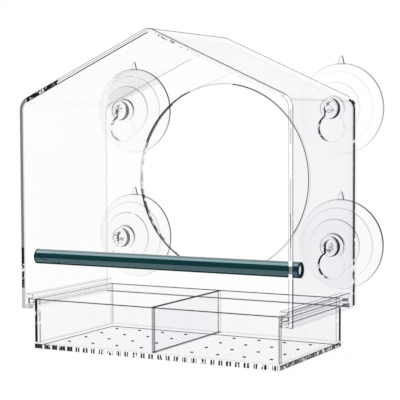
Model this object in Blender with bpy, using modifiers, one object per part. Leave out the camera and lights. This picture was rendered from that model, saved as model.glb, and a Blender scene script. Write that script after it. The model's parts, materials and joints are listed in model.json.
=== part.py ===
"""Window bird feeder: a clear acrylic house with a slide-out seed tray, a perch and four suction cups.

+X is to the right, +Y goes from the open front to the window, and +Z is up. The origin is on the plane that
the tray stands on, in the middle of the whole object's width and depth.
"""

import math

import bmesh
import bpy
from mathutils import Matrix, Vector

MM = 0.001

# House of bent sheet. Heights are measured from the lower edges of its side walls.
house_width = 190 * MM
house_depth = 98.8 * MM
shoulder_height = 132 * MM
roof_rise = 43.5 * MM
sheet = 3 * MM
bend_inner_radius = 6 * MM

# Joints between pieces
glue_gap = 0.3 * MM
running_clearance = 0.3 * MM
overrun = 2 * MM
merge_distance = 0.01 * MM

# Viewing hole in the back panel: its distance from the roof's outer faces and from the lower edge
view_hole_margin = 23.4 * MM
view_hole_sill = 18.5 * MM

# Keyholes in the back panel
keyhole_inset = 16.7 * MM
keyhole_upper_drop = 5.3 * MM
keyhole_lower_height = 38.6 * MM
keyhole_slot_width = 8.2 * MM
keyhole_lobe_diameter = 17 * MM
keyhole_travel = 12.3 * MM

# Suction cups, turned about an axis along Y
cup_diameter = 59 * MM
cup_depth = 13 * MM
cup_wall = 1.6 * MM
cup_step = 0.3 * MM
cup_outer_ring_inset = 5.8 * MM
cup_inner_ring_inset = 12.9 * MM
cup_lip_width = 2 * MM
cup_lip_thickness = 1 * MM
boss_diameter = 17.3 * MM
boss_height = 1 * MM
head_diameter = 13.4 * MM
head_height = 4.6 * MM
head_rim_height = 1.4 * MM
tab_width = 5 * MM
tab_length = 5 * MM
tab_thickness = 0.7 * MM

# Tray and the rails that carry it
tray_drop = 25.4 * MM
tray_wall = 2.4 * MM
tray_floor = 3 * MM
tray_recess = 1.3 * MM
tray_stop_clearance = 0.8 * MM
tray_side_clearance = 0.4 * MM
runner_thickness = 3 * MM
runner_side_clearance = 0.5 * MM
rail_thickness = 3 * MM
rail_width = 5.3 * MM
drain_diameter = 2.5 * MM
drain_pitch_x = 18 * MM
drain_pitch_y = 19.3 * MM
drain_margin = 8 * MM

# Perch
perch_diameter = 9.5 * MM
perch_bore = 6.5 * MM
perch_edge_break = 0.4 * MM
perch_recess = 1.4 * MM
perch_setback = 14.65 * MM
perch_height = 32.25 * MM

# Segments of round shapes
bend_segments = 5
circle_segments = 48
lobe_segments = 20
slot_segments = 8
turned_segments = 28
dome_segments = 5
drain_segments = 8

# Worked out from the sizes above
wall_base = tray_drop
half_width = house_width / 2
inner_half_width = half_width - sheet
apex_height = shoulder_height + roof_rise
roof_slope = math.atan2(roof_rise, half_width)
cup_radius = cup_diameter / 2
boss_radius = boss_diameter / 2
head_radius = head_diameter / 2
neck_radius = keyhole_slot_width / 2 - running_clearance
cup_dome_radius = (cup_radius**2 + cup_depth**2) / (2 * cup_depth)
cup_rings = [cup_radius - cup_inner_ring_inset, cup_radius - cup_outer_ring_inset]


def dome_sag(radius):
    """How far the cup's dome has fallen away from its crown at this radius."""
    return cup_dome_radius - math.sqrt(cup_dome_radius**2 - radius**2)


cup_dome_height = dome_sag(cup_radius) - dome_sag(boss_radius) + cup_step * len(cup_rings)
cup_standoff = glue_gap + boss_height + cup_dome_height + cup_lip_thickness
front_y = -(house_depth + cup_standoff) / 2
panel_front_y = front_y + house_depth - sheet
panel_rear_y = front_y + house_depth
view_hole_room = (apex_height - view_hole_sill) * math.cos(roof_slope) - view_hole_margin
view_hole_radius = view_hole_room / (1 + math.cos(roof_slope))
view_hole_z = wall_base + view_hole_sill + view_hole_radius
cup_x = half_width - keyhole_inset
cup_heights = {
    "upper": wall_base + shoulder_height - keyhole_upper_drop,
    "lower": wall_base + keyhole_lower_height,
}
rail_outer_x = inner_half_width - glue_gap
rail_inner_x = rail_outer_x - rail_width
tray_half_width = rail_inner_x - tray_side_clearance
tray_front_y = front_y + tray_recess
tray_rear_y = panel_front_y - tray_stop_clearance
runner_base = wall_base + rail_thickness + running_clearance
tray_top = runner_base + runner_thickness
upper_rail_base = tray_top + running_clearance
tray_wall_base = tray_floor + glue_gap
perch_y = front_y + perch_setback
perch_z = wall_base + perch_height
perch_radius = perch_diameter / 2
perch_length = house_width - 2 * perch_recess


def clear_scene():
    """Remove every object, so that the script gives the same result each run."""
    for item in list(bpy.data.objects):
        bpy.data.objects.remove(item, do_unlink=True)


def new_collection(name):
    """A collection linked to the scene."""
    collection = bpy.data.collections.new(name)
    bpy.context.scene.collection.children.link(collection)
    return collection


def plastic(name, colour, roughness, transmission):
    """A Principled material for a clear or coloured plastic."""
    material = bpy.data.materials.new(name)
    material.use_nodes = True
    shader = material.node_tree.nodes["Principled BSDF"]
    shader.inputs["Base Color"].default_value = (*colour, 1)
    shader.inputs["Roughness"].default_value = roughness
    shader.inputs["Metallic"].default_value = 0
    shader.inputs["Transmission Weight"].default_value = transmission
    return material


def clear_acrylic(name):
    """Clear cast acrylic with the faint cool tint of its sheet."""
    return plastic(name, (0.90, 0.91, 0.95), 0.03, 1)


def soft_clear(name):
    """Soft clear vinyl of a suction cup."""
    return plastic(name, (0.88, 0.89, 0.92), 0.12, 1)


def teal_plastic(name):
    """Glossy dark teal of the perch."""
    return plastic(name, (0.012, 0.075, 0.085), 0.18, 0)


def add_object(name, mesh, collection, material=None, parent=None, location=(0, 0, 0)):
    """An object of this mesh in the collection, with its own material."""
    item = bpy.data.objects.new(name, mesh)
    item.location = location
    item.parent = parent
    if material:
        mesh.materials.append(material)
    collection.objects.link(item)
    return item


def mesh_from(build, name):
    """The mesh that a function makes in a bmesh."""
    shape = bmesh.new()
    build(shape)
    bmesh.ops.recalc_face_normals(shape, faces=shape.faces)
    mesh = bpy.data.meshes.new(name)
    shape.to_mesh(mesh)
    shape.free()
    return mesh


def box_mesh(name, low, high):
    """A box between two corners."""

    def build(shape):
        size = [b - a for a, b in zip(low, high)]
        middle = [(a + b) / 2 for a, b in zip(low, high)]
        place = Matrix.Translation(middle) @ Matrix.Diagonal((*size, 1))
        bmesh.ops.create_cube(shape, size=1, matrix=place)

    return mesh_from(build, name)


def add_rod(shape, radius, length, segments, place):
    """A cylinder along the Z of this placing matrix, centred on its origin."""
    bmesh.ops.create_cone(
        shape,
        cap_ends=True,
        segments=segments,
        radius1=radius,
        radius2=radius,
        depth=length,
        matrix=place,
    )


def cut(item, cutter):
    """Cut one object from another with a Boolean."""
    boolean = item.modifiers.new(cutter.name, "BOOLEAN")
    boolean.operation = "DIFFERENCE"
    boolean.object = cutter


def add_cutter(name, mesh, collection, location=(0, 0, 0), parent=None):
    """A cutter, which shows as wire and stays out of the part."""
    cutter = add_object(name, mesh, collection, location=location, parent=parent)
    cutter.hide_render = True
    cutter.display_type = "WIRE"
    return cutter


def arc(centre, radius, start, end, segments):
    """Points of an arc, its two ends among them."""
    steps = (start + (end - start) * i / segments for i in range(segments + 1))
    return [(centre[0] + radius * math.cos(a), centre[1] + radius * math.sin(a)) for a in steps]


def rounded_corner(before, corner, after, radius, segments):
    """The arc that rounds a corner of an outline, tangent to both of its sides."""
    corner = Vector(corner)
    to_before = (Vector(before) - corner).normalized()
    to_after = (Vector(after) - corner).normalized()
    half_angle = to_before.angle(to_after) / 2
    centre = corner + (to_before + to_after).normalized() * radius / math.sin(half_angle)
    first = corner + to_before * radius / math.tan(half_angle) - centre
    swing = first.angle_signed(corner + to_after * radius / math.tan(half_angle) - centre)
    start = math.atan2(first.y, first.x)
    return arc(centre, radius, start, start - swing, segments)


def house_outline(inset):
    """The bent sheet's section in X and Z at a depth below its outer face, from left foot to right foot."""
    drop = inset / math.cos(roof_slope)
    shoulder = wall_base + shoulder_height - drop + inset * math.tan(roof_slope)
    apex = wall_base + apex_height - drop
    half = half_width - inset
    feet = [(-half, wall_base), (half, wall_base)]
    corners = [feet[0], (-half, shoulder), (0, apex), (half, shoulder), feet[1]]
    points = [feet[0]]
    for before, corner, after in zip(corners, corners[1:], corners[2:]):
        points += rounded_corner(before, corner, after, bend_inner_radius + sheet - inset, bend_segments)
    return points + [feet[1]]


def build_hood(parts, cutters):
    """The side walls and the roof: one open sheet with a thickness, and a hole for the perch in each wall."""
    shape = bmesh.new()
    rail = [shape.verts.new((x, front_y, z)) for x, z in house_outline(0)]
    for a, b in zip(rail, rail[1:]):
        shape.edges.new((a, b))
    swept = bmesh.ops.extrude_edge_only(shape, edges=list(shape.edges))["geom"]
    rear = [v for v in swept if isinstance(v, bmesh.types.BMVert)]
    bmesh.ops.translate(shape, verts=rear, vec=(0, house_depth, 0))
    shape.normal_update()
    left_wall = min(shape.faces, key=lambda face: face.calc_center_median().x)
    if left_wall.normal.x > 0:
        bmesh.ops.reverse_faces(shape, faces=list(shape.faces))
    mesh = bpy.data.meshes.new("hood")
    shape.to_mesh(mesh)
    shape.free()
    hood = add_object("hood", mesh, parts, clear_acrylic("hood_acrylic"))
    wall = hood.modifiers.new("sheet", "SOLIDIFY")
    wall.thickness = sheet
    wall.offset = -1
    wall.use_even_offset = True
    cut(hood, add_cutter("perch_holes", mesh_from(add_perch_rods, "perch_holes"), cutters))


def add_perch_rods(shape):
    """Rods for the holes in the side walls, which the perch runs through."""
    for sign in (-1, 1):
        place = Matrix.Translation((sign * (house_width - sheet) / 2, perch_y, perch_z))
        turn = Matrix.Rotation(math.pi / 2, 4, "Y")
        radius = perch_radius + running_clearance
        add_rod(shape, radius, sheet + 2 * overrun, turned_segments, place @ turn)


def keyhole_outline(x, z):
    """A round lobe with a narrow slot rising out of it, whose round top is centred at this place."""
    slot_radius = keyhole_slot_width / 2
    lobe_radius = keyhole_lobe_diameter / 2
    opening = math.asin(slot_radius / lobe_radius)
    lobe_z = z - keyhole_travel
    start = math.pi / 2 - opening
    lobe = arc((x, lobe_z), lobe_radius, start, start - 2 * (math.pi - opening), lobe_segments)
    return lobe + arc((x, z), slot_radius, math.pi, 0, slot_segments)


def build_back_panel(parts):
    """The flat sheet inside the hood's rear edge, with the viewing hole and the keyholes."""
    outlines = [house_outline(sheet + glue_gap)]
    ring = arc((0, view_hole_z), view_hole_radius, 0, 2 * math.pi, circle_segments)
    outlines.append(ring[:-1])
    for x in (-cup_x, cup_x):
        for z in cup_heights.values():
            outlines.append(keyhole_outline(x, z))
    flat = bpy.data.curves.new("back_panel", "CURVE")
    flat.dimensions = "2D"
    flat.fill_mode = "BOTH"
    flat.extrude = sheet / 2
    for outline in outlines:
        spline = flat.splines.new("POLY")
        spline.points.add(len(outline) - 1)
        for point, (x, z) in zip(spline.points, outline):
            point.co = (x, z, 0, 1)
        spline.use_cyclic_u = True
    panel = add_object("back_panel", flat, parts, clear_acrylic("back_panel_acrylic"))
    panel.rotation_euler = (math.pi / 2, 0, 0)
    panel.location = (0, panel_front_y + sheet / 2, 0)


def build_rails(parts):
    """Two strips inside each side wall, with the slot for the tray's runner between them."""
    for side, sign in (("left", -1), ("right", 1)):
        xs = sorted((sign * rail_inner_x, sign * rail_outer_x))
        for level, base in (("upper", upper_rail_base), ("lower", wall_base)):
            name = f"rail_{level}_{side}"
            low = (xs[0], front_y, base)
            high = (xs[1], panel_front_y - glue_gap, base + rail_thickness)
            add_object(name, box_mesh(name, low, high), parts, clear_acrylic(f"{name}_acrylic"))


def turned(name, profile, collection, material, closed=False, location=(0, 0, 0), rotation=(0, 0, 0)):
    """A solid turned about its own Z from a profile in X and Z, which runs down its outer side."""
    shape = bmesh.new()
    points = [shape.verts.new((x, 0, z)) for x, z in profile]
    for a, b in zip(points, points[1:]):
        shape.edges.new((a, b))
    if closed:
        shape.edges.new((points[-1], points[0]))
    mesh = bpy.data.meshes.new(name)
    shape.to_mesh(mesh)
    shape.free()
    item = add_object(name, mesh, collection, material, location=location)
    item.rotation_euler = rotation
    screw = item.modifiers.new("turn", "SCREW")
    screw.steps = turned_segments
    screw.render_steps = turned_segments
    screw.use_merge_vertices = True
    screw.merge_threshold = merge_distance
    screw.use_smooth_shade = True
    return item


def build_perch(parts):
    """The hollow perch, with a small break on its end edges."""
    half = perch_length / 2
    bore = perch_bore / 2
    profile = [
        (bore, half),
        (perch_radius - perch_edge_break, half),
        (perch_radius, half - perch_edge_break),
        (perch_radius, perch_edge_break - half),
        (perch_radius - perch_edge_break, -half),
        (bore, -half),
    ]
    material = teal_plastic("perch_plastic")
    place = (0, perch_y, perch_z)
    turned("perch_tube", profile, parts, material, True, place, (0, math.pi / 2, 0))


def build_tray(parts, cutters):
    """The floor with its drain holes, the walls that stand on it, the divider and the runners."""
    carriage = bpy.data.objects.new("tray_carriage", None)
    carriage.location = (0, tray_front_y, 0)
    parts.objects.link(carriage)
    depth = tray_rear_y - tray_front_y
    half = tray_half_width
    side_front = tray_wall + glue_gap
    side_rear = depth - tray_wall - glue_gap
    base = tray_wall_base
    runner_inner = half + glue_gap
    runner_outer = inner_half_width - runner_side_clearance
    boxes = {
        "tray_floor": ((-half, 0, 0), (half, depth, tray_floor)),
        "tray_front_wall": ((-half, 0, base), (half, tray_wall, tray_top)),
        "tray_back_wall": ((-half, depth - tray_wall, base), (half, depth, tray_top)),
        "tray_left_wall": ((-half, side_front, base), (tray_wall - half, side_rear, tray_top)),
        "tray_right_wall": ((half - tray_wall, side_front, base), (half, side_rear, tray_top)),
        "tray_divider": ((-tray_wall / 2, side_front, base), (tray_wall / 2, side_rear, tray_top)),
        "tray_runner_left": ((-runner_outer, 0, runner_base), (-runner_inner, depth, tray_top)),
        "tray_runner_right": ((runner_inner, 0, runner_base), (runner_outer, depth, tray_top)),
    }
    pieces = {}
    for name, (low, high) in boxes.items():
        mesh = box_mesh(name, low, high)
        pieces[name] = add_object(name, mesh, parts, clear_acrylic(f"{name}_acrylic"), carriage)
    cut(pieces["tray_floor"], drain_cutter(cutters, carriage, half, depth))


def drain_cutter(cutters, carriage, half, depth):
    """Rods for the drain holes, on a grid that leaves out the column under the divider."""
    columns = int((half - tray_wall - drain_margin) / drain_pitch_x)
    rows = int((depth - 2 * (tray_wall + drain_margin)) / drain_pitch_y) + 1
    first_y = (depth - (rows - 1) * drain_pitch_y) / 2

    def build(shape):
        for column in range(-columns, columns + 1):
            for row in range(rows if column else 0):
                centre = (column * drain_pitch_x, first_y + row * drain_pitch_y, tray_floor / 2)
                length = tray_floor + 2 * overrun
                place = Matrix.Translation(centre)
                add_rod(shape, drain_diameter / 2, length, drain_segments, place)

    mesh = mesh_from(build, "drain_rods")
    return add_cutter("drain_rods", mesh, cutters, parent=carriage)


def cup_profile():
    """Half of the cup's section: head, neck, boss, stepped dome, flat lip, and back up inside.

    X is the distance from its axis. Z is measured towards the front from the back panel's rear face.
    """
    seat = -glue_gap
    head_base = sheet + running_clearance
    crown = seat - boss_height + dome_sag(boss_radius)
    rise = head_height - head_rim_height
    head = [
        (x * head_radius, head_base + head_rim_height + z * rise)
        for x, z in arc((0, 0), 1, math.pi / 2, 0, dome_segments)
    ]
    outer = [
        (head_radius, head_base),
        (neck_radius, head_base),
        (neck_radius, seat),
        (boss_radius, seat),
        (boss_radius, crown - dome_sag(boss_radius)),
    ]
    top = crown
    for ring in cup_rings + [cup_radius]:
        middle = (outer[-1][0] + ring) / 2
        outer.append((middle, top - dome_sag(middle)))
        outer.append((ring, top - dome_sag(ring)))
        if ring != cup_radius:
            top -= cup_step
            outer.append((ring, top - dome_sag(ring)))
    lip_base = outer[-1][1] - cup_lip_thickness
    lip_inner = cup_radius - cup_lip_width
    lip = [(cup_radius, lip_base), (lip_inner, lip_base)]
    inside_crown = top - cup_wall
    inside = []
    for i in range(dome_segments, -1, -1):
        x = lip_inner * i / dome_segments
        inside.append((x, inside_crown - dome_sag(x)))
    return head + outer + lip + inside


def build_cups(parts, cutters):
    """The four suction cups, each with a pull tab at the top of its rim."""
    profile = cup_profile()
    for level, z in cup_heights.items():
        for side, sign in (("left", -1), ("right", 1)):
            name = f"cup_{level}_{side}"
            place = (sign * cup_x, panel_rear_y, z)
            material = soft_clear(f"{name}_vinyl")
            cup = turned(name, profile, parts, material, False, place, (math.pi / 2, 0, 0))
            union = cup.modifiers.new("tab", "BOOLEAN")
            union.operation = "UNION"
            union.object = add_tab(name, min(z for _, z in profile), cup, cutters)


def add_tab(name, lip_base, cup, cutters):
    """The pull tab's blank, from inside the lip to a round end above the rim."""
    half = tab_width / 2
    root = cup_radius - cup_lip_width / 2
    outline = [(-half, root), (half, root)]
    outline += arc((0, cup_radius + tab_length - half), half, 0, math.pi, slot_segments)
    base = lip_base + (cup_lip_thickness - tab_thickness) / 2

    def build(shape):
        face = shape.faces.new([shape.verts.new((x, y, base)) for x, y in outline])
        top = bmesh.ops.extrude_face_region(shape, geom=[face])["geom"]
        points = [v for v in top if isinstance(v, bmesh.types.BMVert)]
        bmesh.ops.translate(shape, verts=points, vec=(0, 0, tab_thickness))

    return add_cutter(f"{name}_tab", mesh_from(build, f"{name}_tab"), cutters, parent=cup)


def main():
    """Build the feeder."""
    clear_scene()
    parts = new_collection("window_bird_feeder")
    cutters = new_collection("cutters")
    build_hood(parts, cutters)
    build_back_panel(parts)
    build_rails(parts)
    build_perch(parts)
    build_tray(parts, cutters)
    build_cups(parts, cutters)


main()
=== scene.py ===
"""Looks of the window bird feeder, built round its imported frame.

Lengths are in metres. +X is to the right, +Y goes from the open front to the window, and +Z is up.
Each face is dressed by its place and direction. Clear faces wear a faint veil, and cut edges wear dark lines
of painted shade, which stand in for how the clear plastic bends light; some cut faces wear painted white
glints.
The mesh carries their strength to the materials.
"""

import json
import logging
import math
from collections.abc import Callable, Iterable, Sequence
from dataclasses import dataclass
from enum import Enum
from functools import cache

import bmesh
import bpy
from mathutils import Matrix, Vector


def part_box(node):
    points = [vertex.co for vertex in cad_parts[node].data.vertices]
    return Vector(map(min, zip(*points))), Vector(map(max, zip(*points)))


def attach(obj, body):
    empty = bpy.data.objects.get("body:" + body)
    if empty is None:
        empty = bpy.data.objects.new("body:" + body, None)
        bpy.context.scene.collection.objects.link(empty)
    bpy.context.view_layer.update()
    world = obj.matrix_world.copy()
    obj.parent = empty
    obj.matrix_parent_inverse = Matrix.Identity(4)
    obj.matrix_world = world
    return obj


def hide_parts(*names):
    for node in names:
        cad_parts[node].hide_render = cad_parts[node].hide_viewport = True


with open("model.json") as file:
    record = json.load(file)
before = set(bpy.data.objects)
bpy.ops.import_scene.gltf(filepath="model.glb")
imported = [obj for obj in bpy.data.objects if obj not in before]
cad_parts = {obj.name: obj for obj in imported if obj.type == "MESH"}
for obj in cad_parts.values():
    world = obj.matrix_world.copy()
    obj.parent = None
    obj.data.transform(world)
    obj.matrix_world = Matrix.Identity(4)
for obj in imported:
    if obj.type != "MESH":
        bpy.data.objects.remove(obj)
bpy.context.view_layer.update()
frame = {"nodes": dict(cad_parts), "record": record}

log = logging.getLogger("feeder")

MM = 0.001
# The first name carries how strongly a face wears painted light: the darkness of a line of painted shade, or
# the cover of a painted white glint.
PAINTED_LIGHT, BREAKS, VEIL = "painted_light", "breaks", "veil"
WHITE = (1, 1, 1, 1)
MERGE_WITHIN = 0.01 * MM

# A face is square to an axis, or tilted towards it, when its normal reaches further along it than this.
SQUARE = 0.9
TILTED = 0.3

Colour = tuple[float, float, float]
Operand = "Signal | float | Colour"
Shape = bmesh.types.BMesh
Look = Callable[[Vector, Vector], "Dress"]


class Axis(Enum):
    """The frame's axes."""

    X = (1, 0, 0)
    Y = (0, 1, 0)
    Z = (0, 0, 1)


class Signal:
    """A value or colour in a material's graph, which takes part in plain arithmetic."""

    def __init__(self, graph: "Graph", socket: bpy.types.NodeSocket) -> None:
        """Wrap one output socket of a graph."""
        self.graph = graph
        self.socket = socket

    def _maths(self, operation: str, first: Operand, second: Operand) -> "Signal":
        """The result of a Math node on two operands."""
        return self.graph.node("ShaderNodeMath", {"operation": operation}, {0: first, 1: second})

    def __add__(self, other: Operand) -> "Signal":
        """The sum."""
        return self._maths("ADD", self, other)

    def __sub__(self, other: Operand) -> "Signal":
        """The difference."""
        return self._maths("SUBTRACT", self, other)

    def __rsub__(self, other: Operand) -> "Signal":
        """The difference from a number."""
        return self._maths("SUBTRACT", other, self)

    def __mul__(self, other: Operand) -> "Signal":
        """The product."""
        return self._maths("MULTIPLY", self, other)

    def __pow__(self, other: Operand) -> "Signal":
        """The power."""
        return self._maths("POWER", self, other)

    __radd__ = __add__
    __rmul__ = __mul__

    def sine(self) -> "Signal":
        """The sine of an angle in radians."""
        return self._maths("SINE", self, 0)

    def clamped(self) -> "Signal":
        """The value held between 0 and 1."""
        return self.graph.node("ShaderNodeClamp", {}, {"Value": self})

    def step(self, low: float, high: float) -> "Signal":
        """A smooth step from 0 at the low value to 1 at the high one."""
        values = {"Value": self, "From Min": low, "From Max": high}
        return self.graph.node("ShaderNodeMapRange", {"interpolation_type": "SMOOTHSTEP"}, values)


class Graph:
    """The node graph of one material or world."""

    def __init__(self, tree: bpy.types.NodeTree) -> None:
        """Empty the tree, so that the graph holds only what is added."""
        self.tree = tree
        tree.nodes.clear()

    def node(self, kind: str, settings: dict, values: dict, output: int | str = 0) -> Signal:
        """Add one node.

        Args:
            kind: the node's type.
            settings: what is set on the node itself, before its sockets.
            values: a number, colour or signal for each named or numbered input.
            output: the output that is returned.

        Returns:
            The signal of that output.
        """
        made = self.tree.nodes.new(kind)
        for name, value in settings.items():
            setattr(made, name, value)
        for key, value in values.items():
            if isinstance(value, Signal):
                self.tree.links.new(value.socket, made.inputs[key])
            else:
                made.inputs[key].default_value = value
        return Signal(self, made.outputs[output] if made.outputs else None)

    def place(self, stretch: Sequence[float] = (1, 1, 1)) -> Signal:
        """The object's own coordinates, scaled along each axis."""
        position = self.node("ShaderNodeTexCoord", {}, {}, "Object")
        return self.node("ShaderNodeMapping", {}, {"Vector": position, "Scale": stretch})

    def noise(self, scale: float, detail: float = 2, stretch: Sequence[float] = (1, 1, 1)) -> Signal:
        """Noise on the object's coordinates, with this many features a metre."""
        values = {"Vector": self.place(stretch), "Scale": scale, "Detail": detail}
        return self.node("ShaderNodeTexNoise", {}, values)

    def along(self, axis: Axis) -> Signal:
        """The object's coordinate along one axis, in metres."""
        return self.node("ShaderNodeSeparateXYZ", {}, {"Vector": self.place()}, axis.name)

    def attribute(self, name: str) -> Signal:
        """A number that the mesh carries on its faces."""
        return self.node("ShaderNodeAttribute", {"attribute_name": name}, {}, "Fac")

    def facing(self) -> Signal:
        """How far the surface turns away from the view, from 0 to 1."""
        return self.node("ShaderNodeLayerWeight", {}, {"Blend": 0.5}, "Facing")

    def blend(self, share: Operand, first: Colour, second: Colour) -> Signal:
        """A colour between two, at this share of the second."""
        values = {0: share, 6: (*first, 1), 7: (*second, 1)}
        return self.node("ShaderNodeMix", {"data_type": "RGBA"}, values, 2)

    def end(self, surface: Signal, output: str = "ShaderNodeOutputMaterial") -> None:
        """End the graph in its output."""
        self.node(output, {}, {"Surface": surface})


def new_graph(name: str) -> tuple[bpy.types.Material, Graph]:
    """A new material and its empty graph.

    Args:
        name: the material's name.

    Returns:
        The material and the graph.
    """
    material = bpy.data.materials.new(name)
    material.use_nodes = True
    return material, Graph(material.node_tree)


@dataclass(frozen=True)
class Skin:
    """A finish of the feeder, which ends in one Principled shader."""

    name: str

    def values(self, graph: Graph) -> dict:
        """The values of the shader's sockets, which each finish works out for itself."""
        raise NotImplementedError

    def material(self) -> bpy.types.Material:
        """Make the finish's material.

        Returns:
            The material, whose graph ends in the shader.
        """
        made, graph = new_graph(self.name)
        graph.end(graph.node("ShaderNodeBsdfPrincipled", {}, self.values(graph)))
        return made


@dataclass(frozen=True)
class ClearFinish(Skin):
    """A polished clear face: a faint veil, more of it at a grazing angle, with light smudges."""

    tint: Colour = (0.05, 0.035, 0.27)
    pale: Colour = (0.12, 0.10, 0.33)
    turn_gain: float = 1.5
    turn_from: float = 0.40
    turn_to: float = 0.72
    unevenness: float = 0.5
    patch_scale: float = 60
    patch_stretch: tuple[float, float, float] = (1, 1, 0.15)
    smudge_scale: float = 160
    roughness: float = 0.05
    smudge_roughness: float = 0.08
    wave_strength: float = 0.04
    wave_height: float = 2 * MM
    ior: float = 1.49

    def values(self, graph: Graph) -> dict:
        """The veil comes from the mesh, and patches of noise make it uneven.

        Args:
            graph: the material's graph.

        Returns:
            The values of the shader's sockets.
        """
        patches = graph.noise(self.patch_scale, 2, self.patch_stretch)
        smudges = graph.noise(self.smudge_scale, 5)
        turned = graph.facing().step(self.turn_from, self.turn_to)
        veil = graph.attribute(VEIL) * (1 - self.unevenness + 2 * self.unevenness * patches)
        wave = {"Strength": self.wave_strength, "Distance": self.wave_height}
        wave["Height"] = graph.noise(self.patch_scale)
        return {
            "Base Color": graph.blend(patches, self.tint, self.pale),
            "Roughness": self.roughness + self.smudge_roughness * smudges,
            "Alpha": (veil * (1 + turned * self.turn_gain)).clamped(),
            "Normal": graph.node("ShaderNodeBump", {}, wave),
            "IOR": self.ior,
        }


@dataclass(frozen=True)
class EdgeFinish(Skin):
    """A polished edge drawn as a dark line of painted shade, which stands in for how the clear edge bends
    light: the mesh says how dark it is and how broken.
    """

    dark: Colour = (0.004, 0.004, 0.006)
    lighter: Colour = (0.02, 0.02, 0.03)
    grain: float = 230
    coarse: float = 60
    coarse_share: float = 0.3
    contrast: float = 15
    reach: float = 5
    balance: float = 0.55
    roughness: float = 0.35
    grain_roughness: float = 0.2
    gloss: float = 0.1
    turn_from: float = -2
    turn_to: float = -1

    def values(self, graph: Graph) -> dict:
        """Fine and coarse noise break the line, and a crest shows only where it turns away.

        Args:
            graph: the material's graph.

        Returns:
            The values of the shader's sockets.
        """
        fine = graph.noise(self.grain, 3)
        coarse = graph.noise(self.coarse, 1)
        grain = (fine * (1 - self.coarse_share) + coarse * self.coarse_share - 0.5) * self.contrast
        gaps = (grain + (graph.attribute(BREAKS) - self.balance) * self.reach).clamped()
        turned = graph.facing().step(self.turn_from, self.turn_to)
        return {
            "Base Color": graph.blend(fine, self.dark, self.lighter),
            "Roughness": self.roughness + self.grain_roughness * fine,
            "Specular IOR Level": self.gloss,
            "Alpha": (graph.attribute(PAINTED_LIGHT) * (1 - gaps) * turned).clamped(),
        }


@dataclass(frozen=True)
class MarkedEdgeFinish(Skin):
    """The front edge of the tray's floor, with a row of dark marks of painted shade that stand for the drain
    holes seen through the clear plastic.
    """

    period: float = 5.9 * MM
    stroke: float = 1.9 * MM
    wander_scale: float = 120
    wander: float = 3
    stroke_wander: float = 9
    group_from: float = -0.4
    group_to: float = -0.15
    stroke_from: float = -0.6
    stroke_to: float = -0.2
    crowd_from: float = -60 * MM
    crowd_to: float = -53 * MM
    crowd_widening: float = 0.5
    crowd_cover: float = 0.85
    corner_from: float = -85.6 * MM
    corner_to: float = -84.2 * MM
    fleck_scale: float = 500
    fleck_stretch: tuple[float, float, float] = (1, 1, 0.6)
    fleck_from: float = 0.31
    fleck_to: float = 0.39
    gap_tint: Colour = (0.02, 0.02, 0.024)
    mark_tint: Colour = (0.002, 0.002, 0.003)
    roughness: float = 0.3
    fleck_roughness: float = 0.2
    gloss: float = 0.1

    def values(self, graph: Graph) -> dict:
        """Marks in groups of short strokes, crowded into blots at the left, with a solid corner.

        Args:
            graph: the material's graph.

        Returns:
            The values of the shader's sockets.
        """
        noise = graph.noise(self.wander_scale, 1)
        across = graph.along(Axis.X)
        crowded = 1 - across.step(self.crowd_from, self.crowd_to)
        groups = (across * (2 * math.pi / self.period) + noise * self.wander).sine()
        groups = (groups + crowded * self.crowd_widening).step(self.group_from, self.group_to)
        strokes = (across * (2 * math.pi / self.stroke) + noise * self.stroke_wander).sine()
        strokes = strokes.step(self.stroke_from, self.stroke_to)
        corner = 1 - across.step(self.corner_from, self.corner_to)
        flecks = graph.noise(self.fleck_scale, 2, self.fleck_stretch).step(self.fleck_from, self.fleck_to)
        marks = (groups + corner) * (strokes + crowded * self.crowd_cover).clamped() * flecks
        return {
            "Base Color": graph.blend(flecks, self.gap_tint, self.mark_tint),
            "Roughness": self.roughness + self.fleck_roughness * flecks,
            "Specular IOR Level": self.gloss,
            "Alpha": (marks + corner).clamped(),
        }


@dataclass(frozen=True)
class GlintFinish(Skin):
    """A painted white glint on a cut face: a pale cover with a painted glow, which hides what is behind it in
    places.
    """

    pale: Colour = (0.9, 0.9, 0.93)
    bright: Colour = (1.0, 1.0, 1.0)
    grain: float = 180
    grain_from: float = 0.4
    grain_to: float = 0.6
    cover: float = 1.6
    cover_loss: float = 1.2
    roughness: float = 0.2
    grain_roughness: float = 0.2
    glow: float = 0.3

    def values(self, graph: Graph) -> dict:
        """Grain makes the cover uneven.

        Args:
            graph: the material's graph.

        Returns:
            The values of the shader's sockets.
        """
        grain = graph.noise(self.grain, 3)
        return {
            "Base Color": graph.blend(grain.step(self.grain_from, self.grain_to), self.bright, self.pale),
            "Roughness": self.roughness + self.grain_roughness * grain,
            "Alpha": (graph.attribute(PAINTED_LIGHT) * (self.cover - self.cover_loss * grain)).clamped(),
            # The emission is a painted glow that keeps the glint white.
            "Emission Color": WHITE,
            "Emission Strength": self.glow,
        }


@dataclass(frozen=True)
class VinylFinish(Skin):
    """Soft clear vinyl: a faint grey veil that thickens where the surface turns away, with painted shade
    darkening it there.
    """

    tint: Colour = (0.30, 0.30, 0.36)
    dark: Colour = (0.02, 0.02, 0.03)
    turn_power: float = 6
    turn_gain: float = 0.12
    cloud_scale: float = 60
    veil_least: float = 0.6
    veil_gain: float = 0.8
    roughness: float = 0.1
    cloud_roughness: float = 0.1

    def values(self, graph: Graph) -> dict:
        """The veil comes from the mesh, and cloudy noise makes it uneven.

        Args:
            graph: the material's graph.

        Returns:
            The values of the shader's sockets.
        """
        turned = (graph.facing() ** self.turn_power * self.turn_gain).clamped()
        cloud = graph.noise(self.cloud_scale, 3)
        veil = graph.attribute(VEIL) * (self.veil_least + self.veil_gain * cloud)
        return {
            "Base Color": graph.blend(turned, self.tint, self.dark),
            "Roughness": self.roughness + self.cloud_roughness * cloud,
            "Alpha": (veil + turned).clamped(),
        }


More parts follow.
